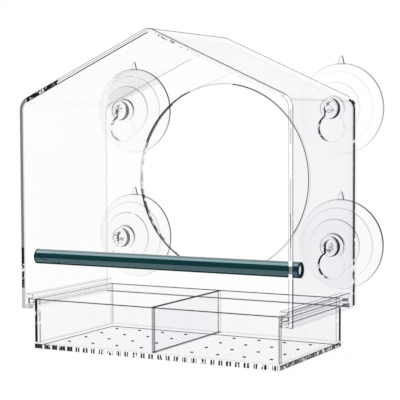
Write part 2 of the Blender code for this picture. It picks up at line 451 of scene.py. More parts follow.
@dataclass(frozen=True)
class TealFinish(Skin):
    """The perch's glossy teal skin, with faint streaks along the tube."""

    body: Colour = (0.005, 0.036, 0.043)
    light: Colour = (0.009, 0.050, 0.058)
    shine: tuple[float, float, float, float] = (0.58, 0.94, 1.0, 1.0)
    gloss: float = 1.0
    coat: float = 0.35
    coat_roughness: float = 0.04
    streak_scale: float = 900
    streak_stretch: tuple[float, float, float] = (0.02, 1, 1)
    speck_scale: float = 2200
    roughness: float = 0.07
    streak_roughness: float = 0.05
    speck_roughness: float = 0.03

    def values(self, graph: Graph) -> dict:
        """Streaks and specks vary the colour and the gloss.

        Args:
            graph: the material's graph.

        Returns:
            The values of the shader's sockets.
        """
        streaks = graph.noise(self.streak_scale, 3, self.streak_stretch)
        specks = graph.noise(self.speck_scale, 1)
        return {
            "Base Color": graph.blend(streaks, self.body, self.light),
            "Roughness": self.roughness + self.streak_roughness * streaks + self.speck_roughness * specks,
            "Specular IOR Level": self.gloss,
            "Specular Tint": self.shine,
            "Coat Weight": self.coat,
            "Coat Roughness": self.coat_roughness,
        }


@dataclass(frozen=True)
class BoreFinish(Skin):
    """A pale ring inside each end of the perch: a painted highlight, with a painted glow."""

    shade: Colour = (0.45, 0.66, 0.70)
    light: Colour = (0.62, 0.80, 0.84)
    glow_tint: tuple[float, float, float, float] = (0.75, 0.97, 1.0, 1.0)
    glow: float = 0.45
    streak_scale: float = 300
    streak_stretch: tuple[float, float, float] = (0.1, 1, 1)
    roughness: float = 0.3
    streak_roughness: float = 0.2

    def values(self, graph: Graph) -> dict:
        """Streaks along the tube vary the colour.

        Args:
            graph: the material's graph.

        Returns:
            The values of the shader's sockets.
        """
        streaks = graph.noise(self.streak_scale, 3, self.streak_stretch)
        return {
            "Base Color": graph.blend(streaks, self.shade, self.light),
            "Roughness": self.roughness + self.streak_roughness * streaks,
            # The emission is a painted glow.
            "Emission Color": self.glow_tint,
            "Emission Strength": self.glow,
        }


class Finish(Enum):
    """The finishes of the feeder, in the order of a piece's material slots."""

    SHEET = ClearFinish("clear_sheet")
    EDGE = EdgeFinish("polished_edge")
    RAIL = ClearFinish("rail_strip", tint=(0.84, 0.84, 0.88), pale=(0.99, 0.99, 1.0), turn_gain=0.3)
    SPECKS = EdgeFinish("speckled_edge", grain=620, coarse=150, contrast=11)
    # A line of painted shade along the roof's ridge, which shows only where the surface turns away.
    CREST = EdgeFinish("turned_crest", turn_from=0.72, turn_to=0.88)
    GLINT = GlintFinish("white_glint")
    MARKS = MarkedEdgeFinish("marked_edge")
    VINYL = VinylFinish("soft_vinyl")
    TEAL = TealFinish("teal_tube")
    BORE = BoreFinish("tube_bore")


FINISHES = list(Finish)


@cache
def material_of(finish: Finish) -> bpy.types.Material:
    """The finish's material, made once."""
    return finish.value.material()


@dataclass(frozen=True)
class Dress:
    """What one face wears: a finish, and how strongly."""

    finish: Finish = Finish.SHEET
    veil: float = 0.0
    # How strongly the face wears painted shade as a dark line, or a painted white glint.
    painted_light: float = 0.0
    breaks: float = 0.0


def line(painted_light: float, breaks: float = 0.0) -> Dress:
    """An edge drawn as a line of painted shade of this darkness, with this share of it broken away."""
    return Dress(Finish.EDGE, painted_light=painted_light, breaks=breaks)


def speckle(painted_light: float, breaks: float) -> Dress:
    """A finely speckled edge of painted shade of this darkness, with this share of it broken away."""
    return Dress(Finish.SPECKS, painted_light=painted_light, breaks=breaks)


def glint(painted_light: float) -> Dress:
    """A cut face with a painted white glint of this strength."""
    return Dress(Finish.GLINT, painted_light=painted_light)


def strip(veil: float = 0.016) -> Dress:
    """The pale face of a rail or runner."""
    return Dress(Finish.RAIL, veil=veil)


def glass(veil: float) -> Dress:
    """A clear face with this veil."""
    return Dress(Finish.SHEET, veil=veil)


def long_arris(centre: Vector, normal: Vector) -> Dress:
    """How the long arrises of a rail or runner look: thin grey lines of painted shade, darker at the right.

    Args:
        centre: the face's centre.
        normal: the face's normal.

    Returns:
        The face's dress.
    """
    if normal.z < TILTED:
        return line(0.12)
    return line(0.8 if centre.x > 0 else 0.4, 0.1)


Bands = tuple[tuple[float, Dress], ...]


def band_at(bands: Bands, place: float) -> Dress:
    """The dress of the first band that ends past this place."""
    return next(dress for end, dress in bands if place < end)


def new_shape() -> Shape:
    """Start an empty shape whose faces can be dressed.

    Returns:
        The shape, with a layer for each number that its faces carry.
    """
    shape = bmesh.new()
    for name in (PAINTED_LIGHT, BREAKS, VEIL):
        shape.loops.layers.float.new(name)
    return shape


def paint(shape: Shape, faces: Iterable[bmesh.types.BMFace], dress: Dress) -> None:
    """Dress some faces of a shape alike.

    Args:
        shape: the shape.
        faces: its faces that are dressed.
        dress: what they wear.
    """
    layers = shape.loops.layers.float
    painted_light, breaks, veil = (layers[name] for name in (PAINTED_LIGHT, BREAKS, VEIL))
    for face in faces:
        face.material_index = FINISHES.index(dress.finish)
        for corner in face.loops:
            corner[painted_light] = dress.painted_light
            corner[breaks] = dress.breaks
            corner[veil] = dress.veil


def paint_each(shape: Shape, faces: Iterable[bmesh.types.BMFace], look: Look) -> None:
    """Dress each of some faces by its centre and its normal."""
    for face in faces:
        paint(shape, [face], look(face.calc_center_median(), face.normal))


def body_of(node: str) -> str:
    """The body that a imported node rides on."""
    bodies = frame["record"]["behaviour"]["bodies"]
    return next(body for body, nodes in bodies.items() if node in nodes)


def add_object(name: str, data: bpy.types.ID) -> bpy.types.Object:
    """Add an object to the scene.

    Args:
        name: the object's name.
        data: the mesh, lamp or camera that it holds.

    Returns:
        The object.
    """
    item = bpy.data.objects.new(name, data)
    bpy.context.scene.collection.objects.link(item)
    return item


def mesh_object(name: str, shape: Shape) -> bpy.types.Object:
    """Turn a finished shape into an object, and free the shape.

    Args:
        name: the object's name.
        shape: the shape.

    Returns:
        The object.
    """
    mesh = bpy.data.meshes.new(name)
    shape.to_mesh(mesh)
    shape.free()
    return add_object(name, mesh)


def place_piece(shape: Shape, name: str, node: str, smooth: float = 30) -> bpy.types.Object:
    """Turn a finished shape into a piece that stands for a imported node.

    Args:
        shape: the shape, which is freed.
        name: the piece's name.
        node: the node that it replaces.
        smooth: the angle in degrees under which two faces are shaded as one.

    Returns:
        The piece, riding on the node's body.
    """
    piece = mesh_object(name, shape)
    mesh = piece.data
    used = sorted({p.material_index for p in mesh.polygons})
    for finish in used:
        mesh.materials.append(material_of(FINISHES[finish]))
    for polygon in mesh.polygons:
        polygon.material_index = used.index(polygon.material_index)
    mesh.shade_smooth()
    mesh.set_sharp_from_angle(angle=math.radians(smooth))
    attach(piece, body_of(node))
    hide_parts(node)
    log.info("%s: %d faces, on %s", name, len(mesh.polygons), body_of(node))
    return piece


def arc(centre: Sequence[float], radius: float, start: float, end: float, segments: int) -> list[tuple]:
    """Points of an arc, its two ends among them."""
    steps = (start + (end - start) * i / segments for i in range(segments + 1))
    return [(centre[0] + radius * math.cos(a), centre[1] + radius * math.sin(a)) for a in steps]


def circle(centre: Sequence[float], radius: float, segments: int) -> list[tuple]:
    """Points round a circle."""
    return arc(centre, radius, 0, 2 * math.pi, segments)[:-1]


def rounded_corner(before: Sequence, corner: Sequence, after: Sequence, radius: float, segments: int) -> list:
    """Round a corner of an outline with an arc that is tangent to both of its sides.

    Args:
        before: the outline's point before the corner.
        corner: the corner.
        after: the outline's point after it.
        radius: the arc's radius.
        segments: how many segments the arc has.

    Returns:
        The arc's points.
    """
    corner = Vector(corner)
    to_before = (Vector(before) - corner).normalized()
    to_after = (Vector(after) - corner).normalized()
    half_angle = to_before.angle(to_after) / 2
    centre = corner + (to_before + to_after).normalized() * radius / math.sin(half_angle)
    first = corner + to_before * radius / math.tan(half_angle) - centre
    swing = first.angle_signed(corner + to_after * radius / math.tan(half_angle) - centre)
    start = math.atan2(first.y, first.x)
    return arc(centre, radius, start, start - swing, segments)


def of_kind(made: Iterable, kind: type) -> list:
    """The vertices or faces among what an operator made."""
    return [item for item in made if isinstance(item, kind)]


def add_loop(shape: Shape, points: Sequence[Sequence[float]], closed: bool = True) -> list:
    """Add edges through some points.

    Args:
        shape: the shape that gets them.
        points: the points, in order.
        closed: whether the last is joined to the first.

    Returns:
        The edges.
    """
    verts = [shape.verts.new(p) for p in points]
    pairs = list(zip(verts, verts[1:]))
    if closed:
        pairs.append((verts[-1], verts[0]))
    return [shape.edges.new(pair) for pair in pairs]


def fill_between(shape: Shape, outlines: Iterable[Sequence], normal: Sequence[float]) -> list:
    """Fill a flat outline, leaving out the outlines inside it.

    Args:
        shape: the shape that gets the faces.
        outlines: the outer outline and the holes, as points.
        normal: the way that the faces point.

    Returns:
        The faces.
    """
    edges = [edge for outline in outlines for edge in add_loop(shape, outline)]
    made = bmesh.ops.triangle_fill(shape, edges=edges, use_beauty=True, normal=normal)
    return of_kind(made["geom"], bmesh.types.BMFace)


def cut_across(shape: Shape, axis: Axis, place: float) -> None:
    """Cut a shape's faces in two where they cross a plane, without taking any away.

    Args:
        shape: the shape.
        axis: the axis that the plane is square to.
        place: where the plane crosses that axis.
    """
    normal = Vector(axis.value)
    everything = [*shape.verts, *shape.edges, *shape.faces]
    bmesh.ops.bisect_plane(shape, geom=everything, plane_co=normal * place, plane_no=normal)


def spin_round(shape: Shape, section: list, centre: Vector, axis: Axis, steps: int) -> None:
    """Spin a section all the way round into a closed shape whose faces point outwards.

    Args:
        shape: the shape that holds nothing but the section.
        section: the section's edges.
        centre: a point on the axis.
        axis: the axis's direction.
        steps: how many steps the turn has.
    """
    geom = [*shape.verts, *section]
    turn = 2 * math.pi
    bmesh.ops.spin(shape, geom=geom, cent=centre, axis=axis.value, angle=turn, steps=steps, use_merge=True)
    bmesh.ops.remove_doubles(shape, verts=shape.verts, dist=MERGE_WITHIN)
    bmesh.ops.recalc_face_normals(shape, faces=shape.faces)


def raise_cap(shape: Shape, faces: list, width: float, depth: float) -> list:
    """Inset a cap and raise it, which leaves a slanted ring round it.

    Args:
        shape: the shape that the cap is on.
        faces: the cap's faces, which become smaller.
        width: the ring's width in the cap's plane.
        depth: how far the cap rises.

    Returns:
        The ring's faces.
    """
    made = bmesh.ops.inset_region(
        shape, faces=faces, thickness=width, depth=depth, use_even_offset=True, use_boundary=True
    )
    return made["faces"]


def thicken(shape: Shape, faces: list, move: Sequence[float]) -> list:
    """Extrude a flat region and move the copy.

    Args:
        shape: the shape that the region is in.
        faces: the region.
        move: how far the copy goes.

    Returns:
        The copy's faces.
    """
    made = bmesh.ops.extrude_face_region(shape, geom=faces)["geom"]
    bmesh.ops.translate(shape, verts=of_kind(made, bmesh.types.BMVert), vec=move)
    return of_kind(made, bmesh.types.BMFace)


def block(low: Sequence[float], high: Sequence[float]) -> Shape:
    """A block between two corners.

    Args:
        low: the corner with the least coordinates.
        high: the corner with the greatest.

    Returns:
        The block.
    """
    shape = new_shape()
    size = [b - a for a, b in zip(low, high)]
    middle = [(a + b) / 2 for a, b in zip(low, high)]
    bmesh.ops.create_cube(shape, size=1, matrix=Matrix.Translation(middle) @ Matrix.Diagonal((*size, 1)))
    return shape


def soften(shape: Shape, edges: list, width: float) -> list:
    """Chamfer some edges.

    Args:
        shape: the shape that they are on.
        edges: the edges.
        width: the chamfer's width along each side.

    Returns:
        The chamfers' faces.
    """
    made = bmesh.ops.bevel(
        shape,
        geom=edges,
        offset=width,
        segments=1,
        profile=0.5,
        affect="EDGES",
        material=-1,
        clamp_overlap=True,
    )
    return made["faces"]


@dataclass
class Plate:
    """A rectangular strip or plate of clear sheet, with polished arrises."""

    node: str
    face: Dress
    arris: Look
    side: Look | None = None
    arris_width: float = 0.5 * MM
    cut_z: float | None = None

    def build(self) -> Shape:
        """Chamfer the plate's arrises and dress it face by face.

        Returns:
            The plate.
        """
        shape = block(*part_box(self.node))
        soften(shape, list(shape.edges), self.arris_width)
        if self.cut_z is not None:
            cut_across(shape, Axis.Z, self.cut_z)
        paint(shape, shape.faces, self.face)
        for face in shape.faces:
            chamfer = max(abs(c) for c in face.normal) < SQUARE
            look = self.arris if chamfer else self.side
            if look:
                paint_each(shape, [face], look)
        return shape

    def dress(self) -> None:
        """Build the plate's piece."""
        place_piece(self.build(), f"{self.node}_plate", self.node)


# The looks of the cut faces of the hood's walls, each up to a share of the wall's height: lines of painted
# shade, and on the right wall's front two painted white glints, just below and just above the perch.
BELOW_PERCH, LOW_GLINT_TOP, HIGH_GLINT_FOOT, ABOVE_PERCH = 0.215, 0.237, 0.272, 0.295
FOOT_SHARE, LOW_SHARE, MID_SHARE, CORE_SHARE = 0.1, 0.35, 0.5, 0.65
UPPER_SHARE, SHOULDER_FOOT, SHOULDER_TOP = 0.8, 0.86, 0.95
LEFT_FRONT: Bands = (
    (FOOT_SHARE, line(0.5, 0.3)),
    (BELOW_PERCH, speckle(1.0, 0.55)),
    (ABOVE_PERCH, line(1.0, 0.3)),
    (LOW_SHARE, line(0.8, 0.3)),
    (math.inf, line(0.8, 0.1)),
)
RIGHT_OUTER: Bands = ((BELOW_PERCH, line(0.95, 0.1)), (math.inf, line(0.6, 0.35)))
RIGHT_MARGIN: Bands = (
    (BELOW_PERCH, glint(0.2)),
    (LOW_GLINT_TOP, glint(1.0)),
    (HIGH_GLINT_FOOT, glint(0.2)),
    (ABOVE_PERCH, glint(1.0)),
    (math.inf, glint(0.2)),
)
RIGHT_CORE: Bands = RIGHT_MARGIN[:-1] + (
    (LOW_SHARE, line(0.5, 0.2)),
    (MID_SHARE, line(1.0, 0.2)),
    (CORE_SHARE, line(0.5, 0.2)),
    (UPPER_SHARE, glint(0.2)),
    (SHOULDER_TOP, speckle(0.6, 0.6)),
    (math.inf, glint(0.2)),
)
RIGHT_INNER: Bands = (
    (BELOW_PERCH, line(1.0, 0.05)),
    (LOW_GLINT_TOP, glint(1.0)),
    (HIGH_GLINT_FOOT, line(1.0, 0.05)),
    (ABOVE_PERCH, glint(1.0)),
    (LOW_SHARE, line(1.0, 0.05)),
    (SHOULDER_FOOT, line(0.7, 0.2)),
    (SHOULDER_TOP, speckle(0.95, 0.35)),
    (math.inf, line(0.7, 0.2)),
)
RIGHT_REAR: Bands = ((0.7, line(1.0, 0.4)), (math.inf, line(1.0, 0.2)))

# The looks of the viewing hole's edge, as lines of painted shade, each up to an angle in degrees, from the
# right and up round.
HOLE_CUT: Bands = (
    (120, line(0.03)),
    (126, line(0.5, 0.75)),
    (160, line(0.8, 0.35)),
    (190, line(0.5, 0.75)),
    (226, line(0.9, 0.5)),
    (238, line(0.5, 0.75)),
    (math.inf, line(0.03)),
)
HOLE_RIM: Bands = (
    (82, line(0.95, 0.1)),
    (112, line(0.22, 0.1)),
    (158, line(0.95, 0.1)),
    (180, line(0.35, 0.1)),
    (188, line(0.5, 0.1)),
    (280, line(0.95, 0.1)),
    (327, line(0.4, 0.1)),
    (math.inf, line(0.95, 0.1)),
)


@dataclass(frozen=True)
class Spot:
    """A place on the hood's cut faces: its X and height as shares, and the part of the sheet it is on."""

    across: float
    height: float
    on_wall: bool
    outer: bool

    @property
    def left(self) -> bool:
        """Whether the place is on the left half."""
        return self.across < 0


@dataclass
class House:
    """The bent hood, the back panel and the four rails, whose cut faces wear lines of painted shade and some
    painted white glints.
    """

    cups: Sequence["SuctionCup"]
    width: float = 190 * MM
    shoulder_height: float = 132 * MM
    roof_rise: float = 43.5 * MM
    sheet: float = 3 * MM
    bend_inner_radius: float = 6 * MM
    glue_gap: float = 0.3 * MM
    view_hole_margin: float = 23.4 * MM
    view_hole_sill: float = 18.5 * MM
    keyhole_slot_width: float = 8.2 * MM
    keyhole_lobe_diameter: float = 17 * MM
    keyhole_travel: float = 12.3 * MM
    perch_clearance: float = 0.3 * MM
    arris: float = 0.5 * MM
    margin: float = 0.75 * MM
    line_width: float = 0.35 * MM
    wall_share: float = 0.9
    dense_share: float = 0.69
    fade_share: float = 0.25
    roof_cuts: tuple[float, ...] = (-0.8, -0.5, 0.1, 0.3, 0.5, 0.7)
    bits_from: float = 0.04
    bits_to: float = 0.3
    ridge_from: float = math.radians(-8)
    ridge_to: float = math.radians(24)
    shoulder_from: float = math.radians(50)
    shoulder_to: float = math.radians(62)
    keyhole_gain: float = 2.2
    bend_segments: int = 12
    hole_segments: int = 96
    lobe_segments: int = 40
    slot_segments: int = 16

    def __post_init__(self) -> None:
        """Take the house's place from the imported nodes, and the viewing hole's from the roof and the sill."""
        low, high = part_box("hood")
        self.front, self.rear, self.base = low.y, high.y, low.z
        self.panel_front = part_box("back_panel")[0].y
        self.half = self.width / 2
        self.slope = math.atan2(self.roof_rise, self.half)
        room = (self.shoulder_height + self.roof_rise - self.view_hole_sill) * math.cos(self.slope)
        self.hole_radius = (room - self.view_hole_margin) / (1 + math.cos(self.slope))
        self.hole = (0, self.base + self.view_hole_sill + self.hole_radius)

    def outline(self, inset: float) -> list[tuple]:
        """The bent sheet's section.

        Args:
            inset: the depth below the sheet's outer face.

        Returns:
            Points in X and Z, from the left wall's foot to the right one's.
        """
        drop = inset / math.cos(self.slope)
        shoulder = self.base + self.shoulder_height - drop + inset * math.tan(self.slope)
        apex = self.base + self.shoulder_height + self.roof_rise - drop
        half = self.half - inset
        corners = [(-half, self.base), (-half, shoulder), (0, apex), (half, shoulder), (half, self.base)]
        points = [corners[0]]
        radius = self.bend_inner_radius + self.sheet - inset
        for before, corner, after in zip(corners, corners[1:], corners[2:]):
            points += rounded_corner(before, corner, after, radius, self.bend_segments)
        return points + [corners[-1]]

    def split_walls(self, shape: Shape) -> None:
        """Cut the long straight stretches of the section, so that their edges can change along them.

        Args:
            shape: the hood's section, which is still flat.
        """
        heights = (FOOT_SHARE, BELOW_PERCH, LOW_GLINT_TOP, HIGH_GLINT_FOOT, ABOVE_PERCH, LOW_SHARE)
        heights += (MID_SHARE, CORE_SHARE, UPPER_SHARE, SHOULDER_FOOT, SHOULDER_TOP)
        for share in heights:
            cut_across(shape, Axis.Z, self.base + share * self.shoulder_height)
        for share in sorted((*self.roof_cuts, -self.dense_share, -self.fade_share)):
            cut_across(shape, Axis.X, self.half * share)

    def on_wall(self, centre: Vector) -> bool:
        """Whether a place on the section is on a side wall or the lower half of its bend.

        Args:
            centre: the place.

        Returns:
            True on a wall, and False on the roof.
        """
        radius = self.bend_inner_radius + self.sheet
        rise = self.shoulder_height - radius * math.tan((math.pi / 2 - self.slope) / 2)
        across = abs(centre.x) - (self.half - radius)
        return math.atan2(centre.z - self.base - rise, across) < (math.pi / 2 - self.slope) * self.wall_share

    def is_outer(self, centre: Vector) -> bool:
        """Whether a place on the hood's section is nearer to its outer face than to its inner one.

        Args:
            centre: the place.

        Returns:
            True in the outer half of the sheet.
        """
        wall_gap = self.half - abs(centre.x)
        roof = self.base + self.shoulder_height + wall_gap * math.tan(self.slope)
        roof_gap = (roof - centre.z) * math.cos(self.slope)
        return min(wall_gap, roof_gap) < self.sheet / 2

    def spot(self, centre: Vector) -> Spot:
        """Where on the hood's cut faces a place is."""
        height = (centre.z - self.base) / self.shoulder_height
        return Spot(centre.x / self.half, height, self.on_wall(centre), self.is_outer(centre))

    def hood_face(self, centre: Vector, normal: Vector) -> Dress:
        """How the hood's sheet looks: clearest at the left, with fine lines of painted shade along its bends.

        Args:
            centre: the face's centre.
            normal: the face's normal.

        Returns:
            The face's dress.
        """
        turn = math.atan2(abs(normal.x), abs(normal.z)) * math.copysign(1, centre.x)
        if normal.z > 0 and self.ridge_from < turn < self.ridge_to:
            return Dress(Finish.CREST, painted_light=1.0)
        if normal.z > 0 and self.shoulder_from < turn < self.shoulder_to:
            return line(0.2)
        if self.on_wall(centre):
            return glass(0.013 if centre.x < 0 else 0.027)
        return glass(0.006 if centre.x < 0 else 0.021)

    def roof_bits(self, spot: Spot) -> Dress:
        """The right slope's front: dark bits of painted shade near the apex and pale dashes beyond."""
        return speckle(0.9, 0.76) if self.bits_from < spot.across < self.bits_to else speckle(0.3, 0.85)

    def front_arris(self, spot: Spot) -> Dress:
        """How the hood's front arrises look.

        Args:
            spot: the place on them.

        Returns:
            The dress there.
        """
        if spot.on_wall and spot.left:
            return band_at(LEFT_FRONT, spot.height) if spot.outer else line(0.25, 0.3)
        if spot.on_wall:
            return band_at(RIGHT_OUTER if spot.outer else RIGHT_INNER, spot.height)
        if spot.across < -self.dense_share:
            return speckle(1.0, 0.38)
        if spot.left:
            return line(0.95, 0.05) if spot.outer else line(1.0, 0.1)
        return line(0.85, 0.05) if spot.outer else line(0.12, 0.6)

    def front_margin(self, spot: Spot) -> Dress:
        """How the bands between the front arrises and the core look.

        Args:
            spot: the place on them.

        Returns:
            The dress there.
        """
        if spot.on_wall:
            return band_at(LEFT_FRONT if spot.left else RIGHT_MARGIN, spot.height)
        if spot.left:
            return speckle(1.0, 0.52) if spot.across < -self.dense_share else glass(0.01)
        return line(0.15, 0.1) if spot.outer else self.roof_bits(spot)

    def front_core(self, spot: Spot) -> Dress:
        """How the middle of the front cut face looks.

        Args:
            spot: the place on it.

        Returns:
            The dress there.
        """
        if spot.on_wall:
            return band_at(LEFT_FRONT if spot.left else RIGHT_CORE, spot.height)
        if spot.left:
            return speckle(1.0, 0.52) if spot.across < -self.dense_share else line(0.55, 0.2)
        return self.roof_bits(spot)

    def rear_arris(self, spot: Spot) -> Dress:
        """How the hood's rear arrises look.

        Args:
            spot: the place on them.

        Returns:
            The dress there.
        """
        if spot.left:
            return line(0.3 if not spot.outer and spot.across < -self.fade_share else 0.04)
        if spot.on_wall:
            return line(0.1 if spot.outer else 0.4, 0.4)
        return line(0.7, 0.05) if spot.outer else line(0.03)

    def rear_margin(self, spot: Spot) -> Dress:
        """How the bands between the rear arrises and the core look.

        Args:
            spot: the place on them.

        Returns:
            The dress there.
        """
        if spot.on_wall and not spot.left:
            return line(0.08, 0.4) if spot.outer else line(1.0, 0.25)
        return glass(0.01)

    def rear_core(self, spot: Spot) -> Dress:
        """How the middle of the rear cut face looks."""
        return band_at(RIGHT_REAR, spot.height) if spot.on_wall and not spot.left else glass(0.01)

    def is_foot(self, edge: bmesh.types.BMEdge) -> bool:
        """Whether an edge runs along the bottom of a side wall.

        Args:
            edge: the edge.

        Returns:
            True for an edge of a wall's foot.
        """
        a, b = (v.co for v in edge.verts)
        low = self.base + self.arris
        return a.z < low and b.z < low and abs(a.y - b.y) > self.sheet

    def build_hood(self) -> Shape:
        """Bend the sheet, and split its cut faces into arrises, margins and a core.

        Returns:
            The hood, still without the perch's holes.
        """
        shape = new_shape()
        front = self.front + self.arris
        edges = add_loop(shape, [(x, front, z) for x, z in self.outline(0)], closed=False)
        outer = list(shape.verts)
        made = bmesh.ops.extrude_edge_only(shape, edges=edges)["geom"]
        fresh = set(of_kind(made, bmesh.types.BMVert))
        for vert, (x, z) in zip(outer, self.outline(self.sheet)):
            twin = next(e.other_vert(vert) for e in vert.link_edges if e.other_vert(vert) in fresh)
            twin.co = (x, front, z)
        self.split_walls(shape)
        front_faces = list(shape.faces)
        rear_faces = thicken(shape, front_faces, (0, self.rear - self.front - 2 * self.arris, 0))
        bmesh.ops.recalc_face_normals(shape, faces=shape.faces)
        paint_each(shape, shape.faces, self.hood_face)
        feet = [e for e in shape.edges if self.is_foot(e)]
        front_looks = (self.front_arris, self.front_margin, self.front_core)
        rear_looks = (self.rear_arris, self.rear_margin, self.rear_core)
        for caps, looks in ((front_faces, front_looks), (rear_faces, rear_looks)):
            chamfer = raise_cap(shape, caps, self.arris, self.arris)
            margin = raise_cap(shape, caps, self.margin, 0)
            for faces, look in zip((chamfer, margin, caps), looks):
                for face in faces:
                    paint(shape, [face], look(self.spot(face.calc_center_median())))
        paint(shape, soften(shape, [e for e in feet if e.is_valid], self.arris), line(0.2, 0.4))
        return shape

    def cut_perch_holes(self, hood: bpy.types.Object) -> None:
        """Cut the perch's holes in both side walls.

        Args:
            hood: the hood's piece.
        """
        low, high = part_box("perch_tube")
        radius = (high.z - low.z) / 2 + self.perch_clearance
        middle = (low + high) / 2
        shape = new_shape()
        for x in (low.x, high.x):
            turn = Matrix.Translation((x, middle.y, middle.z)) @ Matrix.Rotation(math.pi / 2, 4, "Y")
            bmesh.ops.create_cone(
                shape,
                cap_ends=True,
                segments=self.slot_segments * 3,
                radius1=radius,
                radius2=radius,
                depth=4 * self.sheet,
                matrix=turn,
            )
        # The left hole's wall wears a painted white glint, which hides the tube's end inside the wall; the
        # right one wears a faint line of painted shade.
        paint(shape, shape.faces, line(0.12, 0.5))
        paint(shape, [f for f in shape.faces if f.calc_center_median().x < 0], glint(1.0))
        cutter = mesh_object("perch_holes", shape)
        finishes = list(hood.data.materials)
        for finish in finishes:
            cutter.data.materials.append(finish)
        for polygon in cutter.data.polygons:
            polygon.material_index = finishes.index(material_of(FINISHES[polygon.material_index]))
        boolean = hood.modifiers.new("perch_holes", "BOOLEAN")
        boolean.operation = "DIFFERENCE"
        boolean.object = cutter
        graph = bpy.context.evaluated_depsgraph_get()
        cut = bpy.data.meshes.new_from_object(hood.evaluated_get(graph))
        hood.modifiers.clear()
        hood.data = cut
        bpy.data.objects.remove(cutter)

    def keyhole(self, axis: Vector) -> list[tuple]:
        """A keyhole's outline: a round lobe with a narrow slot rising out of it.

        Args:
            axis: the cup's axis, which the slot's round top is centred on.

        Returns:
            Points in X and Z.
        """
        slot_radius = self.keyhole_slot_width / 2
        lobe_radius = self.keyhole_lobe_diameter / 2
        opening = math.asin(slot_radius / lobe_radius)
        start = math.pi / 2 - opening
        end = start - 2 * (math.pi - opening)
        lobe = arc((axis.x, axis.z - self.keyhole_travel), lobe_radius, start, end, self.lobe_segments)
        return lobe + arc((axis.x, axis.z), slot_radius, math.pi, 0, self.slot_segments)

    def build_panel(self) -> Shape:
        """Cut the flat back panel with its viewing hole and its keyholes.

        Returns:
            The panel.
        """
        shape = new_shape()
        outlines = [self.outline(self.sheet + self.glue_gap)]
        outlines.append(circle(self.hole, self.hole_radius, self.hole_segments))
        outlines += [self.keyhole(cup.axis) for cup in self.cups]
        front = self.panel_front + self.arris
        fill_between(shape, [[(x, front, z) for x, z in outline] for outline in outlines], (0, -1, 0))
        cut_across(shape, Axis.X, -self.fade_share * self.half)
        front_faces = list(shape.faces)
        rear_faces = thicken(shape, front_faces, (0, self.sheet - 2 * self.arris, 0))
        bmesh.ops.recalc_face_normals(shape, faces=shape.faces)
        paint(shape, shape.faces, glass(0.005))
        caps = set(front_faces) | set(rear_faces)
        paint_each(shape, [f for f in shape.faces if f not in caps], self.panel_cut)
        for cap in (front_faces, rear_faces):
            paint_each(shape, raise_cap(shape, cap, self.arris, self.arris), self.panel_arris)
            paint_each(shape, raise_cap(shape, cap, self.line_width, 0), self.panel_arris)
        return shape

    def hole_angle(self, centre: Vector) -> float | None:
        """The angle of a place on the viewing hole's edge.

        Args:
            centre: the place.

        Returns:
            The angle in degrees round the hole, or None away from the hole.
        """
        x, z = centre.x - self.hole[0], centre.z - self.hole[1]
        if abs(math.hypot(x, z) - self.hole_radius) > self.sheet:
            return None
        return math.degrees(math.atan2(z, x)) % 360

    def keyhole_side(self, centre: Vector) -> float | None:
        """Which side of a keyhole's edge a place is on.

        Args:
            centre: the place.

        Returns:
            1 at the keyhole's left, -1 at its right, and None off the keyholes.
        """
        radius = self.keyhole_lobe_diameter / 2
        band = self.arris + self.line_width
        drop = self.keyhole_travel + radius + band
        rise = self.keyhole_slot_width / 2 + band
        for cup in self.cups:
            if abs(centre.x - cup.axis.x) < radius + band and -drop < centre.z - cup.axis.z < rise:
                return (cup.axis.x - centre.x) / radius
        return None

    def keyhole_line(self, side: float, left: bool) -> Dress:
        """How a keyhole's edge looks: painted shade, black at its left, and broken on the panel's left half."""
        painted_light = min(1.0, self.keyhole_gain * side) if side > 0 else 0.14
        return line(0.8 * painted_light, 0.65) if left else line(painted_light, 0.5 if side > 0 else 0.7)

    def panel_cut(self, centre: Vector, normal: Vector) -> Dress:
        """How a cut face of the panel looks: painted shade, dark where it faces right, towards the open side.

        Args:
            centre: the face's centre.
            normal: not used.

        Returns:
            The face's dress.
        """
        angle = self.hole_angle(centre)
        if angle is not None:
            return band_at(HOLE_CUT, angle)
        side = self.keyhole_side(centre)
        if side is not None:
            return self.keyhole_line(side, centre.x < 0)
        if centre.z < self.base + self.arris:
            return line(0.7 if centre.x > self.fade_share * self.half else 0.2, 0.1)
        return glass(0.005)

    def panel_arris(self, centre: Vector, normal: Vector) -> Dress:
        """How an arris of the panel, or the band beside it, looks: a line of painted shade.

        Args:
            centre: the face's centre.
            normal: the face's normal.

        Returns:
            The face's dress.
        """
        front = centre.y < self.panel_front + self.sheet / 2
        angle = self.hole_angle(centre)
        if angle is not None:
            return band_at(HOLE_RIM, angle) if front else line(0.15, 0.1)
        side = self.keyhole_side(centre)
        if side is not None:
            chamfer = abs(normal.y) < SQUARE
            return self.keyhole_line(side, centre.x < 0) if front and chamfer else line(0.06)
        if centre.z < self.base + self.sheet:
            return line(0.8 if front else 0.1, 0.1)
        return line(0.28 if front and centre.x < -self.fade_share * self.half else 0.03)

    def rail_arris(self, centre: Vector, normal: Vector) -> Dress:
        """How a rail's arris looks: lines of painted shade, broken in front, and black at the outer rear edge
        of the right rails.

        Args:
            centre: the face's centre.
            normal: the face's normal.

        Returns:
            The face's dress.
        """
        if abs(normal.y) > TILTED and centre.y < 0:
            return line(0.5, 0.5)
        if abs(normal.y) > TILTED:
            dark_rear = centre.x > self.half - 2 * self.sheet
            return line(1.0 if dark_rear and normal.x > TILTED else 0.1)
        return long_arris(centre, normal)

